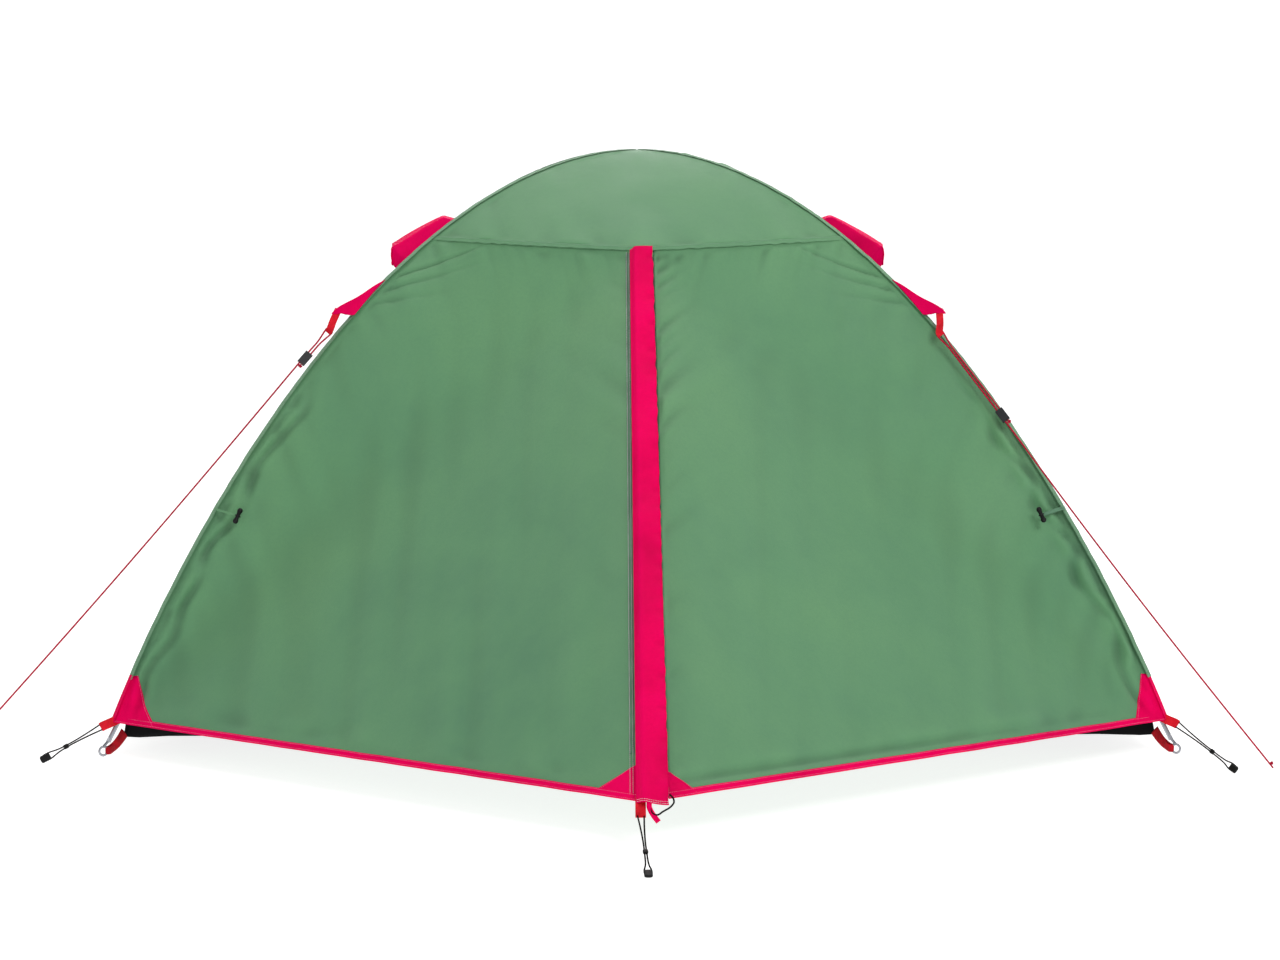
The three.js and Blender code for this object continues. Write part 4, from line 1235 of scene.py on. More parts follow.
        # centre reinforcement
        if sx < 0:
            corners = [(-0.092, hz(0.092) + 0.003), (-0.002, hz(0.002) + 0.003), (-0.002, 0.139), (-0.022, 0.127)]
        else:
            corners = [(-0.092, hz(0.092) + 0.003), (-0.0415, hz(0.0415) + 0.003), (-0.0400, 0.118), (-0.0445, 0.116)]
        cp = patch("p", trees[sx], corners, {}, M["pink"])
        ob3 = cloth(f"{which}_centre_patch", place(cp, sx, rear), M["pink"], place(DOOR_N[None], sx, rear)[0], 0.0007)
        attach(ob3, doors[sx])
        edge_pts = cp[0] + (cp[2] - cp[0]) * 0.5 + DOOR_N * 0.0006
        st = stitches(f"{which}_centre_patch_thread", [(place(edge_pts, sx, rear), place(DOOR_N[None], sx, rear)[0])],
                      M["thread_pink"])
        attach(st, doors[sx])
        declare(ob, leaves[sx])

    # ---- brow seam: the brow's cloth turned under and sewn down twice over the leaves
    s = np.linspace(-1, 1, 161)
    seam = np.where(s[:, None] < 0, brow_curve(-s), mirror_x(brow_curve(s)))
    seam = seam + np.array([0, 0, 1.0]) * (0.0009 * waves1(s, 0.09, seed + 41) * (1 - s ** 8))[:, None]
    sn = np.tile(unit(np.array([0, -0.72, 0.70])), (len(s), 1))
    sn[:, 0] = 0.35 * s
    sn = unit(sn)
    sn = unit(sn + np.array([0.0, 1.0, 0.0]) * (0.18 * waves1(s, 0.07, seed + 42))[:, None])
    low = unit(np.cross(tangents(seam), sn))
    low = np.where(low[:, 2:3] > 0, -low, low)
    bsm = band(f"{half}_brow_seam", flip(seam + low * 0.003), flip(sn), 0.011, 0.0009, M["fly"], lift=0.0004)
    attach(bsm, "root")
    st = stitches(f"{half}_brow_thread", [(flip(seam + low * (0.003 + o) + sn * 0.0013), flip(sn)) for o in (-0.0036, 0.0034)],
                  M["thread_green"])
    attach(st, "root")
    declare(brow, BROW_P)

    # ---- zip tape, coil and storm flap, all sewn to the left leaf
    q = np.linspace(0.02, 0.994, 150)
    zline = C + ZIP_DIR * (q * ZIP_LENGTH)[:, None]
    xoff = lerp(0.0125, 0.0175, q)
    base = zline + RIDGE_OUT * 0.0012
    base[:, 0] += xoff
    w = lerp(0.031, 0.046, q)
    tape = band(f"{half}_zip_tape", flip(base), flip(RIDGE_OUT[None])[0], w, 0.0007, M["binding_black"])
    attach(tape, doors[-1])
    coil_pts = zline + RIDGE_OUT * 0.0026
    coil_pts[:, 0] += -0.001
    cl = resample(coil_pts, step=0.0022)
    zz = np.arange(len(cl))
    xs = np.array([1.0, 0, 0])
    coil = stitches(f"{half}_zip_coil", [(cl, RIDGE_OUT)], M["coil"], pitch=0.0022, length=0.0016, radius=0.0024)
    co = np.array([v.co for v in coil.data.vertices], float)
    coil.data.vertices.foreach_set("co", flip(co).astype(np.float32).ravel())
    coil.data.update()
    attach(coil, doors[-1])

    nu, nv = 22, 220
    q = np.linspace(0.006, 1.0075, nv + 1)
    uu = np.linspace(0, 1, nu + 1)
    x0, x1 = lerp(-0.020, -0.017, q), lerp(0.026, 0.040, q)
    X = lerp(x0[None], x1[None], uu[:, None])
    s_len = q * ZIP_LENGTH
    P = np.zeros((nu + 1, nv + 1, 3))
    P[:] = (C + ZIP_DIR * s_len[:, None])[None]
    P[..., 0] = X
    rise = 0.0045 + 0.0095 * smooth(uu / 0.25)[:, None] + np.zeros_like(X)
    rise = rise - 2.4 * (X - 0.008) ** 2
    free = smooth((uu - 0.45) / 0.55)[:, None]
    rise = rise + 0.0022 * free * waves1(s_len, 0.055, seed + 51)[None] + 0.0012 * waves1(s_len, 0.14, seed + 52)[None] * smooth(uu / 0.3)[:, None]
    rise = np.clip(rise, 0.0038, None)
    edge_wave = 0.0009 * waves1(s_len, 0.05, seed + 53)
    P[..., 0] += free * edge_wave[None]
    P = P + RIDGE_OUT * rise[..., None]
    # the bottom end slants down to the right
    tail = smooth((q - 0.985) / 0.0225)[None]
    P = P + ZIP_DIR * (tail * (0.010 * np.sin(uu * math.pi * 0.62) - 0.006)[:, None])[..., None]
    flap = cloth(f"{half}_flap_sheet", flip(P), M["pink"], flip(RIDGE_OUT[None])[0], 0.0009)
    sew = flip(np.array([C + (D - C) / 2 + RIDGE_OUT * 0.004]))[0]
    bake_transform(flap)
    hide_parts(f"{half}_storm_flap")
    # rolled free edge of the flap
    rim = np.concatenate([P[-1, :, :]])
    rim_n = np.tile(RIDGE_OUT, (len(rim), 1))
    edge_roll = tube(f"{half}_flap_edge", flip(rim - np.array([0.0006, 0, 0])), 0.0008, M["pink"], 8)
    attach(edge_roll, f"{half}_storm_flap")
    bottom = P[:, -1, :]
    bn = RIDGE_OUT
    st = stitches(f"{half}_flap_thread", [(flip(bottom[1:-1] - ZIP_DIR * o + RIDGE_OUT * 0.0004), flip(bn[None])[0]) for o in (0.0025, 0.0065)],
                  M["thread_white"])
    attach(st, f"{half}_storm_flap")
    # the double row that sews the flap to the leaf, and the folded strip under it
    q = np.linspace(0.012, 0.992, 200)
    rows = []
    for x in (-0.0262, -0.0208):
        pts = C + ZIP_DIR * (q * ZIP_LENGTH)[:, None]
        pts[:, 0] = x
        pts = np.array([on_leaf(trees[-1], p[0], p[2], 0.0012)[0] for p in pts])
        rows.append((flip(pts), flip(DOOR_N[None])[0]))
    mid = (rows[0][0] + rows[1][0]) / 2 - flip(DOOR_N[None])[0] * 0.0012
    strip = band(f"{half}_flap_seam", mid[q < 0.930], flip(DOOR_N[None])[0], 0.0105, 0.0007, M["fly_tape"])
    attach(strip, doors[-1])
    st2 = stitches(f"{half}_flap_seam_thread", rows, M["thread_white"], radius=0.00055)
    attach(st2, doors[-1])
    declare(flap, P)

    # ---- webbing tab for the centre elastic
    a0 = np.array([-0.009, -1.452, 0.0865])
    e0 = np.array([-0.009, -1.4815, 0.0610])
    dirn = unit(e0 - a0)
    nn = unit(np.cross(np.array([1.0, 0, 0]), dirn))
    if nn[2] < 0:
        nn = -nn
    loop = [a0 + nn * 0.0012, lerp(a0, e0, 0.5) + nn * 0.0022, e0 + nn * 0.0026, e0 + dirn * 0.0028 + nn * 0.0012,
            e0 + dirn * 0.0030 - nn * 0.0010, e0 - nn * 0.0026, lerp(a0, e0, 0.5) - nn * 0.0024, a0 - nn * 0.0022]
    loop = catmull(loop, 6)
    t = tangents(loop)
    ln = unit(np.cross(t, np.array([1.0, 0, 0])))
    if ln[0] @ nn < 0:
        ln = -ln
    tab = band(f"{half}_centre_tab", flip(loop), flip(ln), 0.0185, 0.0009, M["webbing"])
    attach(tab, doors[-1])

    # ---- hook elastic and webbing tail at the flap's foot
    foot = np.array([0.012, D[1], D[2]]) + RIDGE_OUT * 0.010 + ZIP_DIR * 0.010
    hook = [foot + np.array([-0.004, 0.0, 0.000]), foot + np.array([-0.003, -0.004, -0.010]), foot + np.array([0.000, -0.006, -0.016]),
            foot + np.array([0.008, -0.006, -0.019]), foot + np.array([0.018, -0.005, -0.013]), foot + np.array([0.030, -0.004, -0.006]),
            foot + np.array([0.0365, -0.003, 0.002]), foot + np.array([0.0355, -0.001, 0.009]), foot + np.array([0.029, 0.001, 0.016])]
    hook = [flip(p[None])[0] for p in hook]
    ob, line, length = cord_curve(f"{half}_flap_hook_cord", hook, 0.0016, M["elastic"])
    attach(ob, f"{half}_storm_flap")
    tuple(hook[0])
    wt = [foot + np.array([-0.006, 0.000, 0.004]), foot + np.array([-0.006, -0.003, -0.006]), foot + np.array([0.000, -0.006, -0.018]),
          foot + np.array([0.010, -0.008, -0.031])]
    wt = catmull(wt, 6)
    tailn = unit(np.cross(tangents(wt), np.array([0.75, 0.1, 0.45])))
    if tailn[0][1] > 0:
        tailn = -tailn
    ob = band(f"{half}_flap_tail", flip(wt), flip(tailn), 0.0095, 0.0011, M["pink"])
    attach(ob, f"{half}_storm_flap")

# ------------------------------------------------------------------ side panels, hoods
for sx in (-1, 1):
    which = "left" if sx < 0 else "right"
    sd = 700 if sx < 0 else 760
    turned = sx > 0
    flip = turn if turned else (lambda p: np.array(p, float))
    nu, nv = 110, 130
    S = cluster(nu, 0.35) * 2 - 1
    T = lerp(0.004, 1.0, cluster(nv, 0.25))
    sag = 0.014 * (1 - S[:, None] ** 2) * T[None]
    P = np.stack([-HL * T[None] + sag, S[:, None] * HW * T[None], height(T)[None] - 0.5 * sag], -1)
    n = grid_normals(P)
    if float(np.mean(n[..., 0])) > 0:
        n = -n
    d_edge = (1 - np.abs(S))[:, None] * (HW * T)[None]
    d_hem = (1 - T)[None] * 1.9 * np.ones_like(d_edge)
    yy, tt = P[..., 1], np.broadcast_to(T[None] * 1.5, P.shape[:2])
    e = smooth((d_edge - 0.009) / 0.012) * smooth((d_hem - 0.016) / 0.020) * smooth(T / 0.03)[None]
    h = 0.0022 * waves2(yy, tt, 0.35, 0.5, sd + 1) + 0.0010 * waves2(yy, tt, 0.10, 0.4, sd + 2)
    h = h + 0.0022 * waves1(tt - 1.0 * d_edge, 0.060, sd + 3) * np.exp(-d_edge / 0.05)
    h = h + 0.0030 * waves1(tt - 1.3 * d_edge, 0.12, sd + 4) * np.exp(-d_edge / 0.11)
    h = h + 0.0016 * waves1(yy, 0.08, sd + 5) * np.exp(-d_hem / 0.04)
    P = P + n * (h * e)[..., None]
    side_sheet = cloth(f"{which}_side_sheet", flip(P), M["fly"], flip(np.array([[-1.0, 0, 0.5]]))[0])
    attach(side_sheet, "root")
    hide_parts(f"{which}_side_panel")
    SIDE_P = P
    tree = bvh_of(P)
    # hem
    y = np.linspace(-HW + 0.001, HW - 0.001, 90)
    s = y / HW
    sg = 0.014 * (1 - s ** 2)
    hem = np.stack([-HL + sg, y, CORNER_Z - 0.5 * sg], -1)
    t1, t0 = arc(-1, 0, 1.0), arc(-1, 0, 0.985)
    upv = unit(t0 - t1)
    nrm = unit(np.cross(np.array([0, 1.0, 0]), upv))
    if nrm[0] > 0:
        nrm = -nrm
    hb = band(f"{which}_side_hem_band", flip(hem + upv * 0.0055), flip(nrm[None])[0], 0.0145, 0.0011, M["pink"])
    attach(hb, "root")
    st = stitches(f"{which}_side_hem_thread", [(flip(hem + upv * o + nrm * 0.0011), flip(nrm[None])[0]) for o in (0.0010, 0.0098)],
                  M["thread_pink"])
    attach(st, "root")
    # corner patches on the side
    for sy in (-1, 1):
        n_ = 14
        U = np.linspace(0, 1, n_ + 1)
        G = np.zeros((n_ + 1, n_ + 1, 3))
        for i, u in enumerate(U):
            for j, v in enumerate(U):
                t = lerp(0.9945, 0.955, v)
                wide = lerp(0.090, 0.008, v ** 0.9)
                yv = sy * (HW * t - 0.001 - wide * u)
                sv = yv / (HW * t)
                g = 0.014 * (1 - sv * sv) * t
                p = np.array([-HL * t + g, yv, float(height(t)) - 0.5 * g])
                near, nn, _, _ = tree.find_nearest(Vector(p))
                nn = np.array(nn)
                if nn[0] > 0:
                    nn = -nn
                G[i, j] = np.array(near) + nn * 0.0008
        ob = cloth(f"{which}_side_patch_{'front' if (sy < 0) != turned else 'rear'}", flip(G), M["pink"], flip(np.array([[-1.0, 0, 0.5]]))[0], 0.0007)
        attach(ob, "root")

    # vent hood with a stiff brim, side gussets and mesh behind
    hood_body = f"{which}_vent_hood"
    TOP_, BRIM = np.array([-0.402, 0, 1.062]), np.array([-0.532, 0, 0.993])
    nu, nv = 48, 40
    S = np.linspace(-1, 1, nu + 1)
    Vv = np.linspace(0, 1, nv + 1)
    G = np.zeros((nu + 1, nv + 1, 3))
    for j, v in enumerate(Vv):
        lip = (v - 0.8) / 0.2 if v > 0.8 else 0.0
        kk = min(v / 0.8, 1.0)
        half_w = lerp(0.034, 0.150, kk)
        bow = np.abs(S) ** 2.2 * kk
        x = lerp(TOP_[0], BRIM[0], kk) + 0.008 * bow - 0.001 * lip
        z = lerp(TOP_[2], BRIM[2], kk) - 0.004 * bow - 0.038 * lip
        z = z + 0.004 * math.sin(math.pi * kk) * (1 - S ** 2)
        if lip > 0:
            x = x - 0.0025 * math.sin(math.pi * min(lip * 1.2, 1))
        G[:, j] = np.stack([x + 0 * S, S * half_w, z + 0 * S], -1)
    n = grid_normals(G)
    if float(np.mean(n[..., 2])) < 0:
        n = -n
    wv = 0.0012 * waves2(G[..., 1], G[..., 2], 0.06, 0.08, sd + 9)
    G = G + n * (wv * np.sin(math.pi * np.clip(Vv * 1.1, 0, 1))[None])[..., None]
    for j in range(6):
        keep = smooth(j / 6)
        for i in range(nu + 1):
            near, nn, _, _ = tree.find_nearest(Vector(G[i, j]))
            nn = np.array(nn)
            if nn[0] > 0:
                nn = -nn
            G[i, j] = lerp(np.array(near) + nn * 0.0012, G[i, j], keep)
    hood = cloth(f"{which}_hood_sheet", flip(G), M["pink"], flip(np.array([[-1.0, 0, 1.0]]))[0], 0.0012)
    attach(hood, hood_body)
    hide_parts(f"{which}_vent_hood")
    jb = int(round(0.8 * nv))
    brim_line = G[:, jb]
    bn = n[:, jb]
    st = stitches(f"{which}_hood_thread",
                  [(flip(G[2:-2, jb] + bn[2:-2] * 0.0004), flip(bn[2:-2])), (flip(G[2:-2, jb + 2] + n[2:-2, jb + 2] * 0.0004), flip(n[2:-2, jb + 2])),
                   (flip(G[2:-2, nv - 1] + n[2:-2, nv - 1] * 0.0004), flip(n[2:-2, nv - 1]))], M["thread_pink"])
    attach(st, hood_body)
    rim = np.concatenate([G[0, jb:], G[1:, nv], G[-1, jb:nv][::-1]])
    ob = tube(f"{which}_hood_piping", flip(catmull(rim[::2], 2)), 0.0016, M["pink"], 8)
    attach(ob, hood_body)
    # cheeks that close the hood's two sides down to the panel
    for end_, row in (("a", 0), ("b", nu)):
        edge_ = G[row]
        K = np.zeros((14 + 1, nv + 1, 3))
        for j in range(nv + 1):
            near, nn, _, _ = tree.find_nearest(Vector(edge_[j]))
            nn = np.array(nn)
            if nn[0] > 0:
                nn = -nn
            foot_ = np.array(near) + nn * 0.0009
            for i in range(15):
                f_ = i / 14
                p = lerp(edge_[j] - n[row, j] * 0.0006, foot_, f_)
                p[1] += math.copysign(0.0022, edge_[-1][1]) * math.sin(math.pi * f_) * (0.4 + 0.6 * math.sin(9.0 * j / nv + row))
                K[i, j] = p
        ck = cloth(f"{which}_hood_cheek_{end_}", flip(K), M["pink"], flip(np.array([[0.0, math.copysign(1.0, edge_[-1][1]), 0.0]]))[0], 0.0006)
        mid_ = (edge_[-6] + K[-1][-6]) / 2
        out_ = unit(edge_[-6] - K[-1][-6])
        st_, en_ = flip((mid_ - out_ * 0.012)[None])[0], flip((mid_ + out_ * 0.012)[None])[0]
        tuple(st_)
        tuple(en_)
        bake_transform(ck)
    # mesh patch on the panel under the hood
    nm = 30
    G2 = np.zeros((nm + 1, nm + 1, 3))
    for i, u in enumerate(np.linspace(-1, 1, nm + 1)):
        for j, v in enumerate(np.linspace(0, 1, nm + 1)):
            t = lerp(0.395, 0.495, v)
            yv = u * lerp(0.032, 0.135, v)
            sv = yv / (HW * t)
            g = 0.014 * (1 - sv * sv) * t
            p = np.array([-HL * t + g, yv, float(height(t)) - 0.5 * g])
            near, nn, _, _ = tree.find_nearest(Vector(p))
            nn = np.array(nn)
            if nn[0] > 0:
                nn = -nn
            G2[i, j] = np.array(near) + nn * 0.0010
    ob = cloth(f"{which}_vent_mesh", flip(G2), M["mesh"], flip(np.array([[-1.0, 0, 0.8]]))[0], 0.0004)
    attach(ob, "root")
    rim2 = np.concatenate([G2[0, :], G2[1:, -1], G2[-1, :-1][::-1]])
    n2 = unit(np.array([-0.75, 0, 0.66]))
    ob = band(f"{which}_vent_binding", flip(rim2), flip(n2[None])[0], 0.008, 0.0010, M["fly_tape"])
    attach(ob, "root")
    declare(side_sheet, SIDE_P)
    declare(hood, G)

# ------------------------------------------------------------------ seam tapes over the four pole lines
for sx in (-1, 1):
    for sy in (-1, 1):
        where = f"{'front' if sy < 0 else 'rear'}_{'left' if sx < 0 else 'right'}"
        t = np.concatenate([np.linspace(0.006, 0.9, 120), np.linspace(0.905, 0.969, 16)])
        line = arc(sx, sy, t)
        tan = tangents(line)
        across = unit(np.array([-sy * HW, sx * HL, 0.0]))
        nrm = unit(np.cross(tan, across))
        nrm = np.where(nrm[:, 2:3] < 0, -nrm, nrm)
        nrm[0] = nrm[1]
        sd = 900 + sx * 7 + sy * 3
        line = line + across * (0.0008 * waves1(t * 1.5, 0.09, sd))[:, None] + nrm * (0.0004 * waves1(t * 1.5, 0.03, sd + 1))[:, None]
        tp = band(f"pole_seam_{where}", line, nrm, 0.0165, 0.0005, M["fly"], lift=0.0003)
        t2 = np.linspace(0.966, 0.9995, 22)
        low_ = arc(sx, sy, t2)
        tan2 = tangents(low_)
        nr2 = unit(np.cross(tan2, across))
        nr2 = np.where((nr2 @ (np.array([sx * HL, sy * HW, 0.4])))[:, None] < 0, -nr2, nr2)
        tp2 = band(f"corner_fold_{where}", low_, nr2, np.linspace(0.0125, 0.0150, 22), 0.0005, M["pink"], lift=0.0005)
        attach(tp2, "root")
        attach(tp, "root")
        st = stitches(f"pole_seam_thread_{where}", [(line + across * o + nrm * 0.0008, nrm) for o in (-0.0058, 0.0058)],
                      M["thread_green"])
        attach(st, "root")

# ------------------------------------------------------------------ corner webbing loops and floor straps
OUT = unit(np.array([-HL, -HW, 0.0]))
for sx in (-1, 1):
    for sy in (-1, 1):
        where = f"{'front' if sy < 0 else 'rear'}_{'left' if sx < 0 else 'right'}"
        m = np.array([-sx, -sy, 1.0])  # the drawing is front left
        corner = BL.copy()
        key = where
        el = ELASTIC[key]
        e0 = np.array(ELASTIC_SPEC[key][0])
        d0 = unit(np.array(ELASTIC_SPEC[key][1]) - e0)
        ac = unit(np.cross(d0, np.array([0.0, 1.0, 0.0])))
        cpos = corner * m
        a0 = cpos - np.array([sx * 0.016, sy * 0.010, -0.006])
        nn = unit(np.cross(ac, d0))
        if nn[1] * sy < 0:
            nn = -nn
        e1 = e0 + d0 * 0.004
        loop = [a0 + nn * 0.0022, lerp(a0, e1, 0.55) + nn * 0.0024, e1 - d0 * 0.003 + nn * 0.0026, e1 + nn * 0.0020, e1 + d0 * 0.0022,
                e1 - nn * 0.0020, e1 - d0 * 0.003 - nn * 0.0026, lerp(a0, e1, 0.55) - nn * 0.0024, a0 - nn * 0.0024]
        loop = catmull(loop, 5)
        ln = unit(np.cross(tangents(loop), ac))
        if ln[0] @ nn < 0:
            ln = -ln
        ob = band(f"corner_loop_{where}", loop, ln, 0.0180, 0.0010, M["webbing"])
        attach(ob, "root")

        # floor strap from the tray's corner round the ring's wire, its face turned to the front
        a = np.array([-1.0310, -0.6690, 0.0430])
        ring = np.array([-HL * RING_AT, -HW * RING_AT, 0.013])
        lat = unit(np.cross(OUT, UP))
        b = ring - OUT * 0.0130 + lat * 0.0030
        u = np.linspace(0, 1, 20)
        line = lerp(a[None], b[None], u[:, None])
        line[:, 2] += -0.005 * np.sin(math.pi * u)
        back = [line[-1], ring - OUT * 0.0092 + lat * 0.0034, ring - OUT * 0.0062 + lat * 0.0022, ring - OUT * 0.0052,
                ring - OUT * 0.0062 - lat * 0.0022, ring - OUT * 0.0092 - lat * 0.0034, ring - OUT * 0.0130 - lat * 0.0028,
                lerp(a, b, 0.70) - lat * 0.0030 + UP * -0.0045]
        full = np.concatenate([line, catmull(back, 5)[1:]])
        tn = tangents(full)
        nr = unit(np.cross(np.tile(UP, (len(full), 1)), tn))
        if nr[0] @ lat < 0:
            nr = -nr
        width = np.interp(np.linspace(0, 1, len(full)), [0, 0.15, 0.6, 1], [0.024, 0.021, 0.0150, 0.0150])
        ob = band(f"floor_strap_web_{where}", full * m, nr * m, width, 0.0010, M["webbing_dark"])
        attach(ob, "root")
        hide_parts(f"floor_strap_{where}")
        st = stitches(f"floor_strap_thread_{where}",
                      [((lerp(a, b, q) + np.array([0, 0, -0.005 * math.sin(math.pi * q)]) + nr[5] * 0.0012 + UP[None] * np.linspace(-0.006, 0.006, 12)[:, None]) * m,
                        nr[5] * m) for q in (0.62, 0.72)], M["thread_black"], pitch=0.0022, length=0.0017)
        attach(st, "root")

# ------------------------------------------------------------------ floor tray
def rounded(hx, hy, r, n):
    """A rounded rectangle of 4*n points."""
    pts = []
    for k_, (cx, cy) in enumerate(((1, 1), (-1, 1), (-1, -1), (1, -1))):
        for i in range(n):
            a = math.pi / 2 * (k_ + i / (n - 1))
            pts.append((cx * (hx - r) + r * math.cos(a), cy * (hy - r) + r * math.sin(a)))
    return np.array(pts)


def floor_loop(hx, hy, r, z, n=16, extra=26):
    base = rounded(hx, hy, r, n)
    out = []
    m_ = len(base)
    for i in range(m_):
        a, b = base[i], base[(i + 1) % m_]
        out.append(a)
        if np.linalg.norm(b - a) > 0.1:
            for s in np.linspace(0, 1, extra + 2)[1:-1]:
                out.append(lerp(a, b, s))
    out = np.array(out)
    return np.concatenate([out, np.full((len(out), 1), z)], 1)


rings = []
for hx, hy, r, z in [(0.30, 0.20, 0.03, 0.0012), (0.60, 0.38, 0.03, 0.0014), (0.80, 0.48, 0.025, 0.0012), (0.90, 0.54, 0.02, 0.0014),
                     (0.955, 0.572, 0.015, 0.0014), (0.972, 0.582, 0.012, 0.003), (0.980, 0.590, 0.010, 0.010),
                     (0.989, 0.606, 0.010, 0.026), (0.997, 0.626, 0.009, 0.044), (1.007, 0.648, 0.008, 0.068), (1.016, 0.670, 0.008, 0.094)]:
    rings.append(floor_loop(hx, hy, r, z))
R_ = np.array(rings)
lens = np.concatenate([[0], np.cumsum(np.linalg.norm(np.diff(R_[-1], axis=0), axis=1))])
for j in range(6, len(R_)):
    k_ = (j - 5) / (len(R_) - 6)
    out = unit(np.concatenate([R_[j][:, :2], np.zeros((R_.shape[1], 1))], 1))
    wob = 0.0022 * waves1(lens, 0.09, 77) + 0.0014 * waves1(lens + 0.2 * j, 0.04, 78)
    R_[j] += out * (wob * math.sin(math.pi * min(k_, 0.95)))[:, None] - out * 0.003 * math.sin(math.pi * k_)
# the straps lift the four corners and draw them out to a point
for j in range(3, len(R_)):
    ax_, ay_ = np.abs(R_[j][:, 0]), np.abs(R_[j][:, 1])
    near_ = smooth((ax_ - 0.62) / 0.33) * smooth((ay_ - 0.28) / 0.28)
    lift_ = (0.0, 0.0, 0.0, 0.008, 0.018, 0.024, 0.022, 0.016, 0.009, 0.003, 0.0)[j]
    R_[j][:, 2] += lift_ * near_
    gap = np.hypot(R_[j][:, 0] - np.sign(R_[j][:, 0]) * ax_.max(), R_[j][:, 1] - np.sign(R_[j][:, 1]) * ay_.max())
    pull = np.exp(-(gap / 0.055) ** 2) * (0.0, 0.0, 0.0, 0.0, 0.016, 0.044, 0.052, 0.046, 0.036, 0.020, 0.004)[j]
    R_[j][:, 0] += np.sign(R_[j][:, 0]) * pull * 1.0
    R_[j][:, 1] += np.sign(R_[j][:, 1]) * pull * 1.45
G = R_.transpose(1, 0, 2)
G = np.concatenate([G, G[:1]], 0)
verts = [(0.0, 0.0, 0.0012)]
m_ = R_.shape[1]
allv = np.concatenate([[[0, 0, 0.0013]], R_.reshape(-1, 3)])
faces = []
for i in range(m_):
    j = (i + 1) % m_
    faces.append((0, 1 + i, 1 + j))
    for k_ in range(len(R_) - 1):
        faces.append((1 + k_ * m_ + i, 1 + (k_ + 1) * m_ + i, 1 + (k_ + 1) * m_ + j, 1 + k_ * m_ + j))
tray = new_mesh("floor_tray_cloth", allv, faces, M["floor"], allv[:, :2] + allv[:, 2:3])
mod = tray.modifiers.new("thickness", "SOLIDIFY")
mod.thickness = 0.0008
mod.offset = 1.0
fix_normals(tray)
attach(tray, "root")
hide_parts("floor_tray")
top_loop = R_[-1].copy()
top_loop[:, 2] = 0.0935
bind = band("floor_binding", top_loop, np.concatenate([unit(np.concatenate([top_loop[:, :2], np.zeros((len(top_loop), 1))], 1))], 0),
            0.009, 0.0012, M["binding_black"], closed=True)
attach(bind, "root")

# ------------------------------------------------------------------ inner tent
INNER_X, INNER_Y = 0.962 * HL, 0.93 * HW
Z_LOW = 0.0960
INNER_DROP = 0.048
t_end = 0.985
while float(height(t_end)) - INNER_DROP < Z_LOW:
    t_end -= 0.0005


def dome_point(theta, t):
    c, s = np.cos(theta), np.sin(theta)
    m_ = (np.abs(c) ** 7 + np.abs(s) ** 7) ** (-1 / 7)
    z = np.maximum(height(t) - INNER_DROP, Z_LOW)
    # cloth hangs in between its four pole lines
    pull = np.abs(np.sin(2 * theta)) ** 0.8
    sag = 0.010 * (1 - pull) * np.sin(math.pi * np.clip(t, 0, 1))
    flare = smooth((t / t_end - 0.93) / 0.07)
    return np.stack([c * m_ * t * INNER_X * (1 + 0.030 * flare), s * m_ * t * INNER_Y * (1 + 0.056 * flare), z - sag * 0.5], -1)


nth, nt = 240, 60
TH = np.linspace(0, 2 * math.pi, nth, endpoint=False)
TT = t_end * np.sin(np.linspace(0.02, math.pi / 2, nt + 1))
G = dome_point(TH[:, None], TT[None, :])
nrm_c = G - np.array([0, 0, 0.2])
nrm_c = unit(nrm_c)
wr = 0.0030 * waves2(G[..., 0] + G[..., 1], G[..., 2], 0.16, 0.3, 990) * np.sin(math.pi * TT / t_end)[None] * (1 - smooth((TT / t_end - 0.85) / 0.1))[None] - 0.003 * np.sin(math.pi * TT / t_end)[None]
G = G + nrm_c * wr[..., None]
verts = np.concatenate([G.reshape(-1, 3), [[0, 0, float(height(0)) - INNER_DROP - 0.001]]])
faces = []
for i in range(nth):
    j = (i + 1) % nth
    faces.append((len(verts) - 1, i * (nt + 1), j * (nt + 1)))
    for k_ in range(nt):
        faces.append((i * (nt + 1) + k_, i * (nt + 1) + k_ + 1, j * (nt + 1) + k_ + 1, j * (nt + 1) + k_))
DOOR_HALF, DOOR_LOW, DOOR_HIGH = 0.330, 0.165, 0.770


def corner_cut(bm, half_w, low, high, keep_inside, sy=None):
    """Cuts the dome along the door's outline and keeps the inside or the outside of it."""
    for co, no in (((half_w, 0, 0), (1, 0, 0)), ((-half_w, 0, 0), (-1, 0, 0)), ((0, 0, low), (0, 0, -1)), ((0, 0, high), (0, 0, 1))):
        bmesh.ops.bisect_plane(bm, geom=bm.verts[:] + bm.edges[:] + bm.faces[:], dist=1e-6, plane_co=co, plane_no=no)
    drop = []
    for f in bm.faces:
        c = f.calc_center_median()
        inside = abs(c.x) < half_w and low < c.z < high and abs(c.y) > 0.25
        if sy is not None:
            inside = inside and (c.y * sy > 0)
        if inside != keep_inside:
            drop.append(f)
    bmesh.ops.delete(bm, geom=drop, context="FACES")


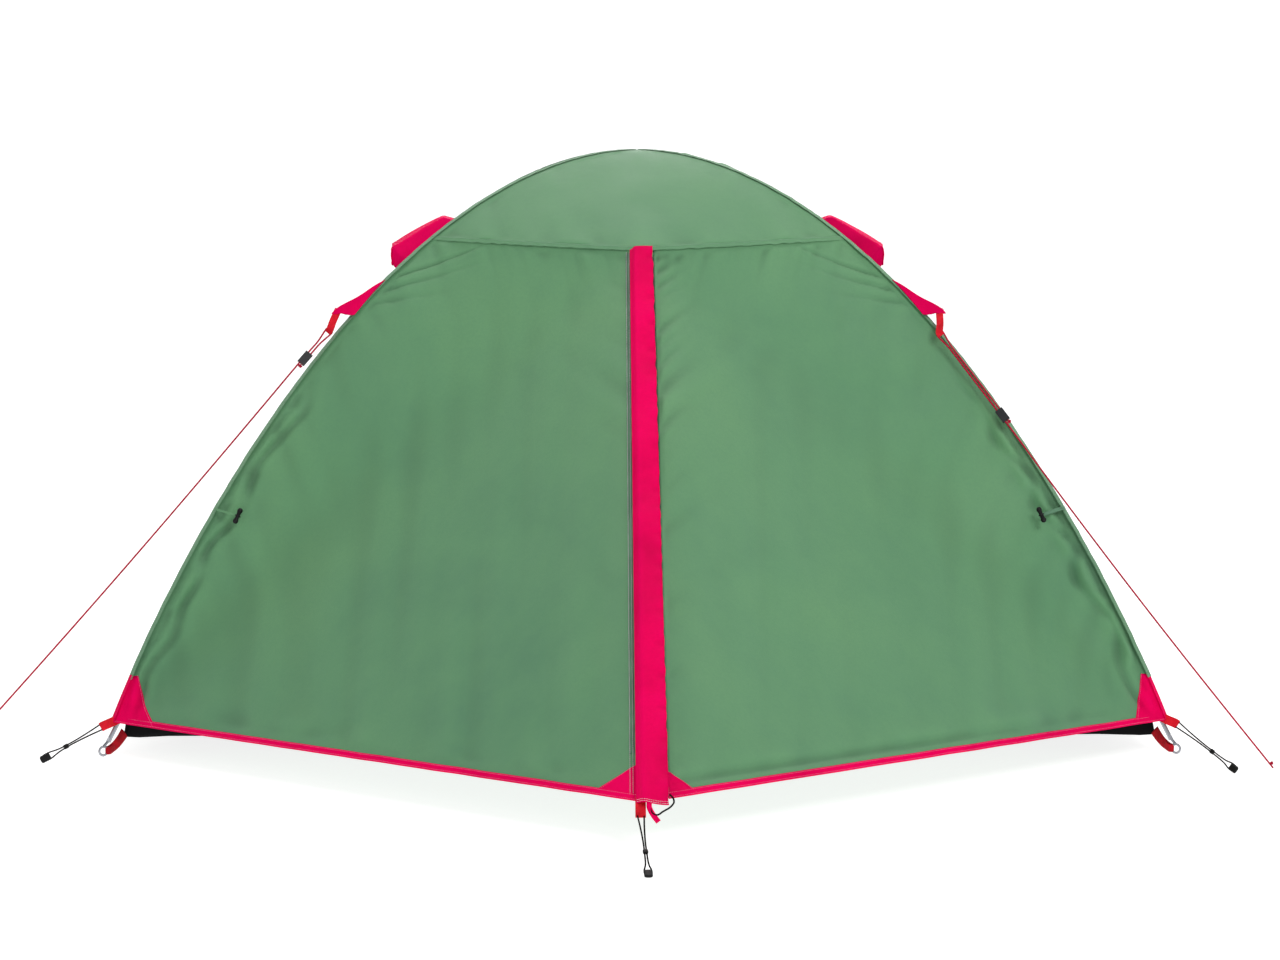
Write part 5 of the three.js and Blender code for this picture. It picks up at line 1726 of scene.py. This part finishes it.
def dome_piece(name, half_w, low, high, keep, sy, material, thickness=0.0005):
    me = bpy.data.meshes.new(name)
    me.from_pydata([tuple(v) for v in verts], [], faces)
    bm = bmesh.new()
    bm.from_mesh(me)
    corner_cut(bm, half_w, low, high, keep, sy)
    bmesh.ops.recalc_face_normals(bm, faces=bm.faces)
    if sum((f.normal.z for f in bm.faces)) < 0:
        bmesh.ops.reverse_faces(bm, faces=bm.faces)
    bm.to_mesh(me)
    bm.free()
    layer = me.uv_layers.new(name="cloth")
    loops = np.zeros(len(me.loops), np.int32)
    me.loops.foreach_get("vertex_index", loops)
    co = np.array([v.co for v in me.vertices])
    uv = np.stack([co[:, 0] + 0.3 * co[:, 1], co[:, 2] + 0.3 * co[:, 1]], -1)
    layer.data.foreach_set("uv", uv[loops].astype(np.float32).ravel())
    me.polygons.foreach_set("use_smooth", np.ones(len(me.polygons), bool))
    me.materials.append(material)
    ob = bpy.data.objects.new(name, me)
    SCENE.collection.objects.link(ob)
    mod = ob.modifiers.new("thickness", "SOLIDIFY")
    mod.thickness = thickness
    mod.offset = -1.0
    return ob


inner = dome_piece("inner_canopy_sheet", DOOR_HALF, DOOR_LOW, DOOR_HIGH, False, None, M["inner"])
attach(inner, "root")
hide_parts("inner_canopy")
TREE_IN = BVHTree.FromPolygons([tuple(v) for v in verts], [tuple(int(i) for i in f) for f in faces])


def on_dome(x, z, sy, lift):
    hit, n_, _, _ = TREE_IN.ray_cast(Vector((x, sy * 3.0, z)), Vector((0, -sy, 0)))
    n_ = np.array(n_)
    if n_[1] * sy < 0:
        n_ = -n_
    return np.array(hit) + n_ * lift, n_


inner_parts = []
for sy, nm in ((-1, "front"), (1, "rear")):
    dr = dome_piece(f"inner_{nm}_door_sheet", DOOR_HALF - 0.004, DOOR_LOW + 0.004, DOOR_HIGH - 0.004, True, sy, M["mesh"])
    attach(dr, f"inner_{nm}_door")
    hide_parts(f"inner_{nm}_door")

    def outline(g):
        x, lo_, hi_ = DOOR_HALF + g, DOOR_LOW - g, DOOR_HIGH + g
        pts = []
        for a_, b_ in (((-x, hi_), (-x, lo_)), ((-x, lo_), (x, lo_)), ((x, lo_), (x, hi_)), ((x, hi_), (-x, hi_))):
            n_ = 34
            for s_ in np.linspace(0, 1, n_, endpoint=False):
                pts.append((lerp(a_[0], b_[0], s_), lerp(a_[1], b_[1], s_)))
        return pts
    for g, label, body, mat, wid in ((0.008, "opening_binding", "root", M["tape_grey"], 0.016), (-0.014, "door_binding", f"inner_{nm}_door", M["binding_black"], 0.014)):
        on = [on_dome(x, z, sy, 0.0006) for x, z in outline(g)]
        pts = np.array([q[0] for q in on])
        nr = np.array([q[1] for q in on])
        ob = band(f"inner_{nm}_{label}", pts, nr, wid, 0.0011, mat, closed=True)
        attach(ob, body)
        inner_parts.append(ob) if body == "root" else None

for letter, sgn in (("a", 1), ("b", -1)):
    pass

# ------------------------------------------------------------------ guy gussets and their webbing
GUY_TIP = np.array([-0.628, -0.418, 0.868])
for sx in (-1, 1):
    which = "left" if sx < 0 else "right"
    m = np.array([-sx, 1.0, 1.0])
    a = arc(-1, -1, 0.500) + np.array([-0.0005, -0.0003, 0.0012])
    b = arc(-1, -1, 0.562) + np.array([-0.0005, -0.0003, 0.0010])
    across = unit(np.cross(OUT, UP))
    nu, nv = 26, 22
    tip = GUY_TIP
    # two plies of cloth, sewn along the upper edge and open below
    for ply, off in (("upper", 1.0), ("lower", -1.0)):
        G = np.zeros((nu + 1, nv + 1, 3))
        for i, u in enumerate(np.linspace(0, 1, nu + 1)):
            e = arc(-1, -1, lerp(0.500, 0.562, u)) + (a - arc(-1, -1, 0.500))
            tipw = lerp(-0.004, 0.006, u)
            q = tip + unit(b - a) * tipw
            for j, v in enumerate(np.linspace(0, 1, nv + 1)):
                p = lerp(e, q, v)
                puff = (0.009 * u * (1 - v) ** 1.1 + 0.0008) * off
                p = p + across * puff + UP * (0.0012 * math.sin(9 * v + 3 * u))
                G[i, j] = p
        ob = cloth(f"guy_gusset_{ply}_{which}", G * m, M["pink"], across * off * m, 0.0006)
        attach(ob, "root")
        if ply == "upper":
            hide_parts(f"guy_gusset_front_{which}")
        edge_u = G[-1]
        if ply == "upper":
            st = stitches(f"guy_gusset_thread_{which}", [((G[1] + across * 0.0007) * m, across * m), ((G[nu // 2] + across * 0.0008) * m, across * m)],
                          M["thread_pink"])
            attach(st, "root")
        w_, l_, ar_ = cut_size(G)
    # webbing loop that holds the guy line
    gp = GUY[which]
    tipg = gp[3] * np.array([1, 1, 1.0])
    dirn = gp[1]
    centre = tipg + dirn * 0.009
    start = GUY_TIP * m
    start = start + unit(np.array([sx * -0.3, 0.4, 0.1])) * 0.016
    axis = gp[2]
    nn = unit(np.cross(axis, dirn))
    r_ = 0.0026
    loop = [start + nn * 0.0014, lerp(start, centre, 0.55) + nn * 0.003, centre - dirn * 0.004 + nn * 0.0040, centre + dirn * 0.0000 + nn * 0.0030,
            centre + dirn * 0.0020, centre - nn * 0.0030, centre - dirn * 0.004 - nn * 0.0040, lerp(start, centre, 0.55) - nn * 0.003, start - nn * 0.0014]
    loop = catmull(loop, 5)
    ln = unit(np.cross(tangents(loop), axis))
    if ln[0] @ nn < 0:
        ln = -ln
    ob = band(f"guy_webbing_{which}", loop, ln, 0.0150, 0.0009, M["webbing"])
    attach(ob, "root")

# ------------------------------------------------------------------ toggles
for sx in (-1, 1):
    which = "left" if sx < 0 else "right"
    m = np.array([-sx, 1.0, 1.0])
    nrm = unit(np.array([-0.52, -0.68, 0.52]))
    centre = np.array([-0.801, -0.594, 0.463]) + nrm * 0.012
    end = arc(-1, -1, 0.816) + nrm * 0.008
    d_ = unit(centre - end)
    side_ = unit(np.cross(d_, nrm))
    prof = [(r_ * 1.22, d * 1.30) for r_, d in [(0, -0.0130), (0.0018, -0.0128), (0.0034, -0.0118), (0.0043, -0.0100), (0.0046, -0.0085), (0.0042, -0.0070), (0.0035, -0.0052),
            (0.0034, -0.0030), (0.0030, -0.0022), (0.0030, 0.0022), (0.0034, 0.0030), (0.0035, 0.0052), (0.0042, 0.0070), (0.0046, 0.0085),
            (0.0043, 0.0100), (0.0034, 0.0118), (0.0018, 0.0128), (0, 0.0130)]]
    ob = lathe(f"toggle_bar_{which}", prof, centre * m, side_ * m, M["plastic"], 24)
    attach(ob, f"front_{which}_toggle")
    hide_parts(f"front_{which}_toggle")
    L = float(np.linalg.norm(centre - end))
    pts = [end - nrm * 0.0035, end + d_ * 0.006 + nrm * 0.001, lerp(end, centre, 0.5) + nrm * 0.0010, centre - d_ * 0.0075 - nrm * 0.0030, centre - nrm * 0.0062]
    pts = catmull(pts, 6)
    ln = unit(np.cross(tangents(pts), side_))
    if ln[0] @ nrm < 0:
        ln = -ln
    ob = band(f"toggle_strap_{which}", pts * m, ln * m, 0.0042 if sx < 0 else 0.0070, 0.0008, M["fly"] if sx < 0 else M["fly_tape"])
    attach(ob, f"front_{which}_toggle")
    turn = np.array([centre + (nrm * math.cos(q_) + d_ * math.sin(q_)) * 0.0046 for q_ in np.linspace(0, 2 * math.pi, 33)[:-1]])
    ob = tube(f"toggle_loop_{which}", turn * m, 0.0011, M["plastic"], 8, closed=True)
    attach(ob, f"front_{which}_toggle")

# ------------------------------------------------------------------ finishes of the CAD nodes that stay
def finish_nodes(prefixes, material):
    for name, ob in NODES.items():
        if any(name.startswith(p) for p in prefixes):
            ob.data.materials.clear()
            ob.data.materials.append(material)


finish_nodes(["corner_pin"], M["steel"])
finish_nodes(["pole_a_section", "pole_b_section"], M["alloy"])
finish_nodes(["pole_a_shock", "pole_b_shock"], M["shock"])
finish_nodes(["front_zip_slider", "rear_zip_slider"], M["zinc"])
finish_nodes(["guy_slider"], M["plastic"])

# ------------------------------------------------------------------ floor, backdrop and light
def studio():
    n = 40
    ys = [-14.0, -6.0, 0.0, 5.0]
    prof = [(y, 0.0) for y in ys] + [(5.0 + 3.0 * math.sin(a), 3.0 - 3.0 * math.cos(a)) for a in np.linspace(0.08, math.pi / 2, 14)] + [(8.0, 12.0)]
    verts_, faces_ = [], []
    for x in (-18.0, 18.0):
        for y, z in prof:
            verts_.append((x, y, z - 0.0006))
    k_ = len(prof)
    for i in range(k_ - 1):
        faces_.append((i, k_ + i, k_ + i + 1, i + 1))
    N = Nodes("studio_floor")
    obj = N.add("ShaderNodeTexCoord").outputs["Object"]
    N.link(N.ramp(N.noise(obj, 0.8, 2.0), [(0.3, (0.50, 0.50, 0.50, 1)), (0.7, (0.53, 0.53, 0.53, 1))]), N.bsdf.inputs["Base Color"])
    N.set(Roughness=0.9, Specular_IOR_Level=0.1, Emission_Color=(1, 1, 1, 1), Emission_Strength=0.84)
    # seen from behind, the backdrop lets the camera look through
    tree_ = N.m.node_tree
    out_ = [n_ for n_ in tree_.nodes if n_.type == "OUTPUT_MATERIAL"][0]
    mix_, clear_, geo_ = (tree_.nodes.new(k) for k in ("ShaderNodeMixShader", "ShaderNodeBsdfTransparent", "ShaderNodeNewGeometry"))
    tree_.links.new(geo_.outputs["Backfacing"], mix_.inputs[0])
    tree_.links.new(N.bsdf.outputs[0], mix_.inputs[1])
    tree_.links.new(clear_.outputs[0], mix_.inputs[2])
    tree_.links.new(mix_.outputs[0], out_.inputs["Surface"])
    ob = new_mesh("studio_floor", np.array(verts_), faces_, N.m)


studio()
world = bpy.data.worlds.new("studio")
SCENE.world = world
world.use_nodes = True
bg = world.node_tree.nodes["Background"]
bg.inputs["Color"].default_value = (1.0, 1.0, 1.0, 1.0)
bg.inputs["Strength"].default_value = 0.32
wt = world.node_tree
plain = wt.nodes.new("ShaderNodeBackground")
plain.inputs["Color"].default_value = (1.0, 1.0, 1.0, 1.0)
plain.inputs["Strength"].default_value = 1.0
ray, pick = wt.nodes.new("ShaderNodeLightPath"), wt.nodes.new("ShaderNodeMixShader")
world_out = [n_ for n_ in wt.nodes if n_.type == "OUTPUT_WORLD"][0]
wt.links.new(ray.outputs["Is Camera Ray"], pick.inputs[0])
wt.links.new(bg.outputs[0], pick.inputs[1])
wt.links.new(plain.outputs[0], pick.inputs[2])
wt.links.new(pick.outputs[0], world_out.inputs["Surface"])


def area_light(name, loc, target, size, power, color=(1, 1, 1)):
    li = bpy.data.lights.new(name, "AREA")
    li.shape = "RECTANGLE"
    li.size, li.size_y = size
    li.energy = power
    li.color = color
    ob = bpy.data.objects.new(name, li)
    ob.location = loc
    d = Vector(target) - Vector(loc)
    ob.rotation_euler = d.to_track_quat("-Z", "Y").to_euler()
    SCENE.collection.objects.link(ob)


area_light("key", (2.6, -4.6, 4.2), (0, -0.4, 0.4), (2.2, 2.2), 138.0)
area_light("fill", (-3.6, -4.2, 2.6), (0, -0.4, 0.4), (3.0, 3.0), 32.0)
area_light("top", (0.0, 0.5, 4.6), (0, 0, 0.5), (3.0, 2.4), 62.0)
area_light("back", (0.5, 4.8, 3.2), (0, 0, 0.5), (4.0, 2.0), 44.0)
SCENE.view_settings.view_transform = "Standard"
SCENE.view_settings.look = "None"
SCENE.view_settings.exposure = 0.0
SCENE.view_settings.gamma = 1.0
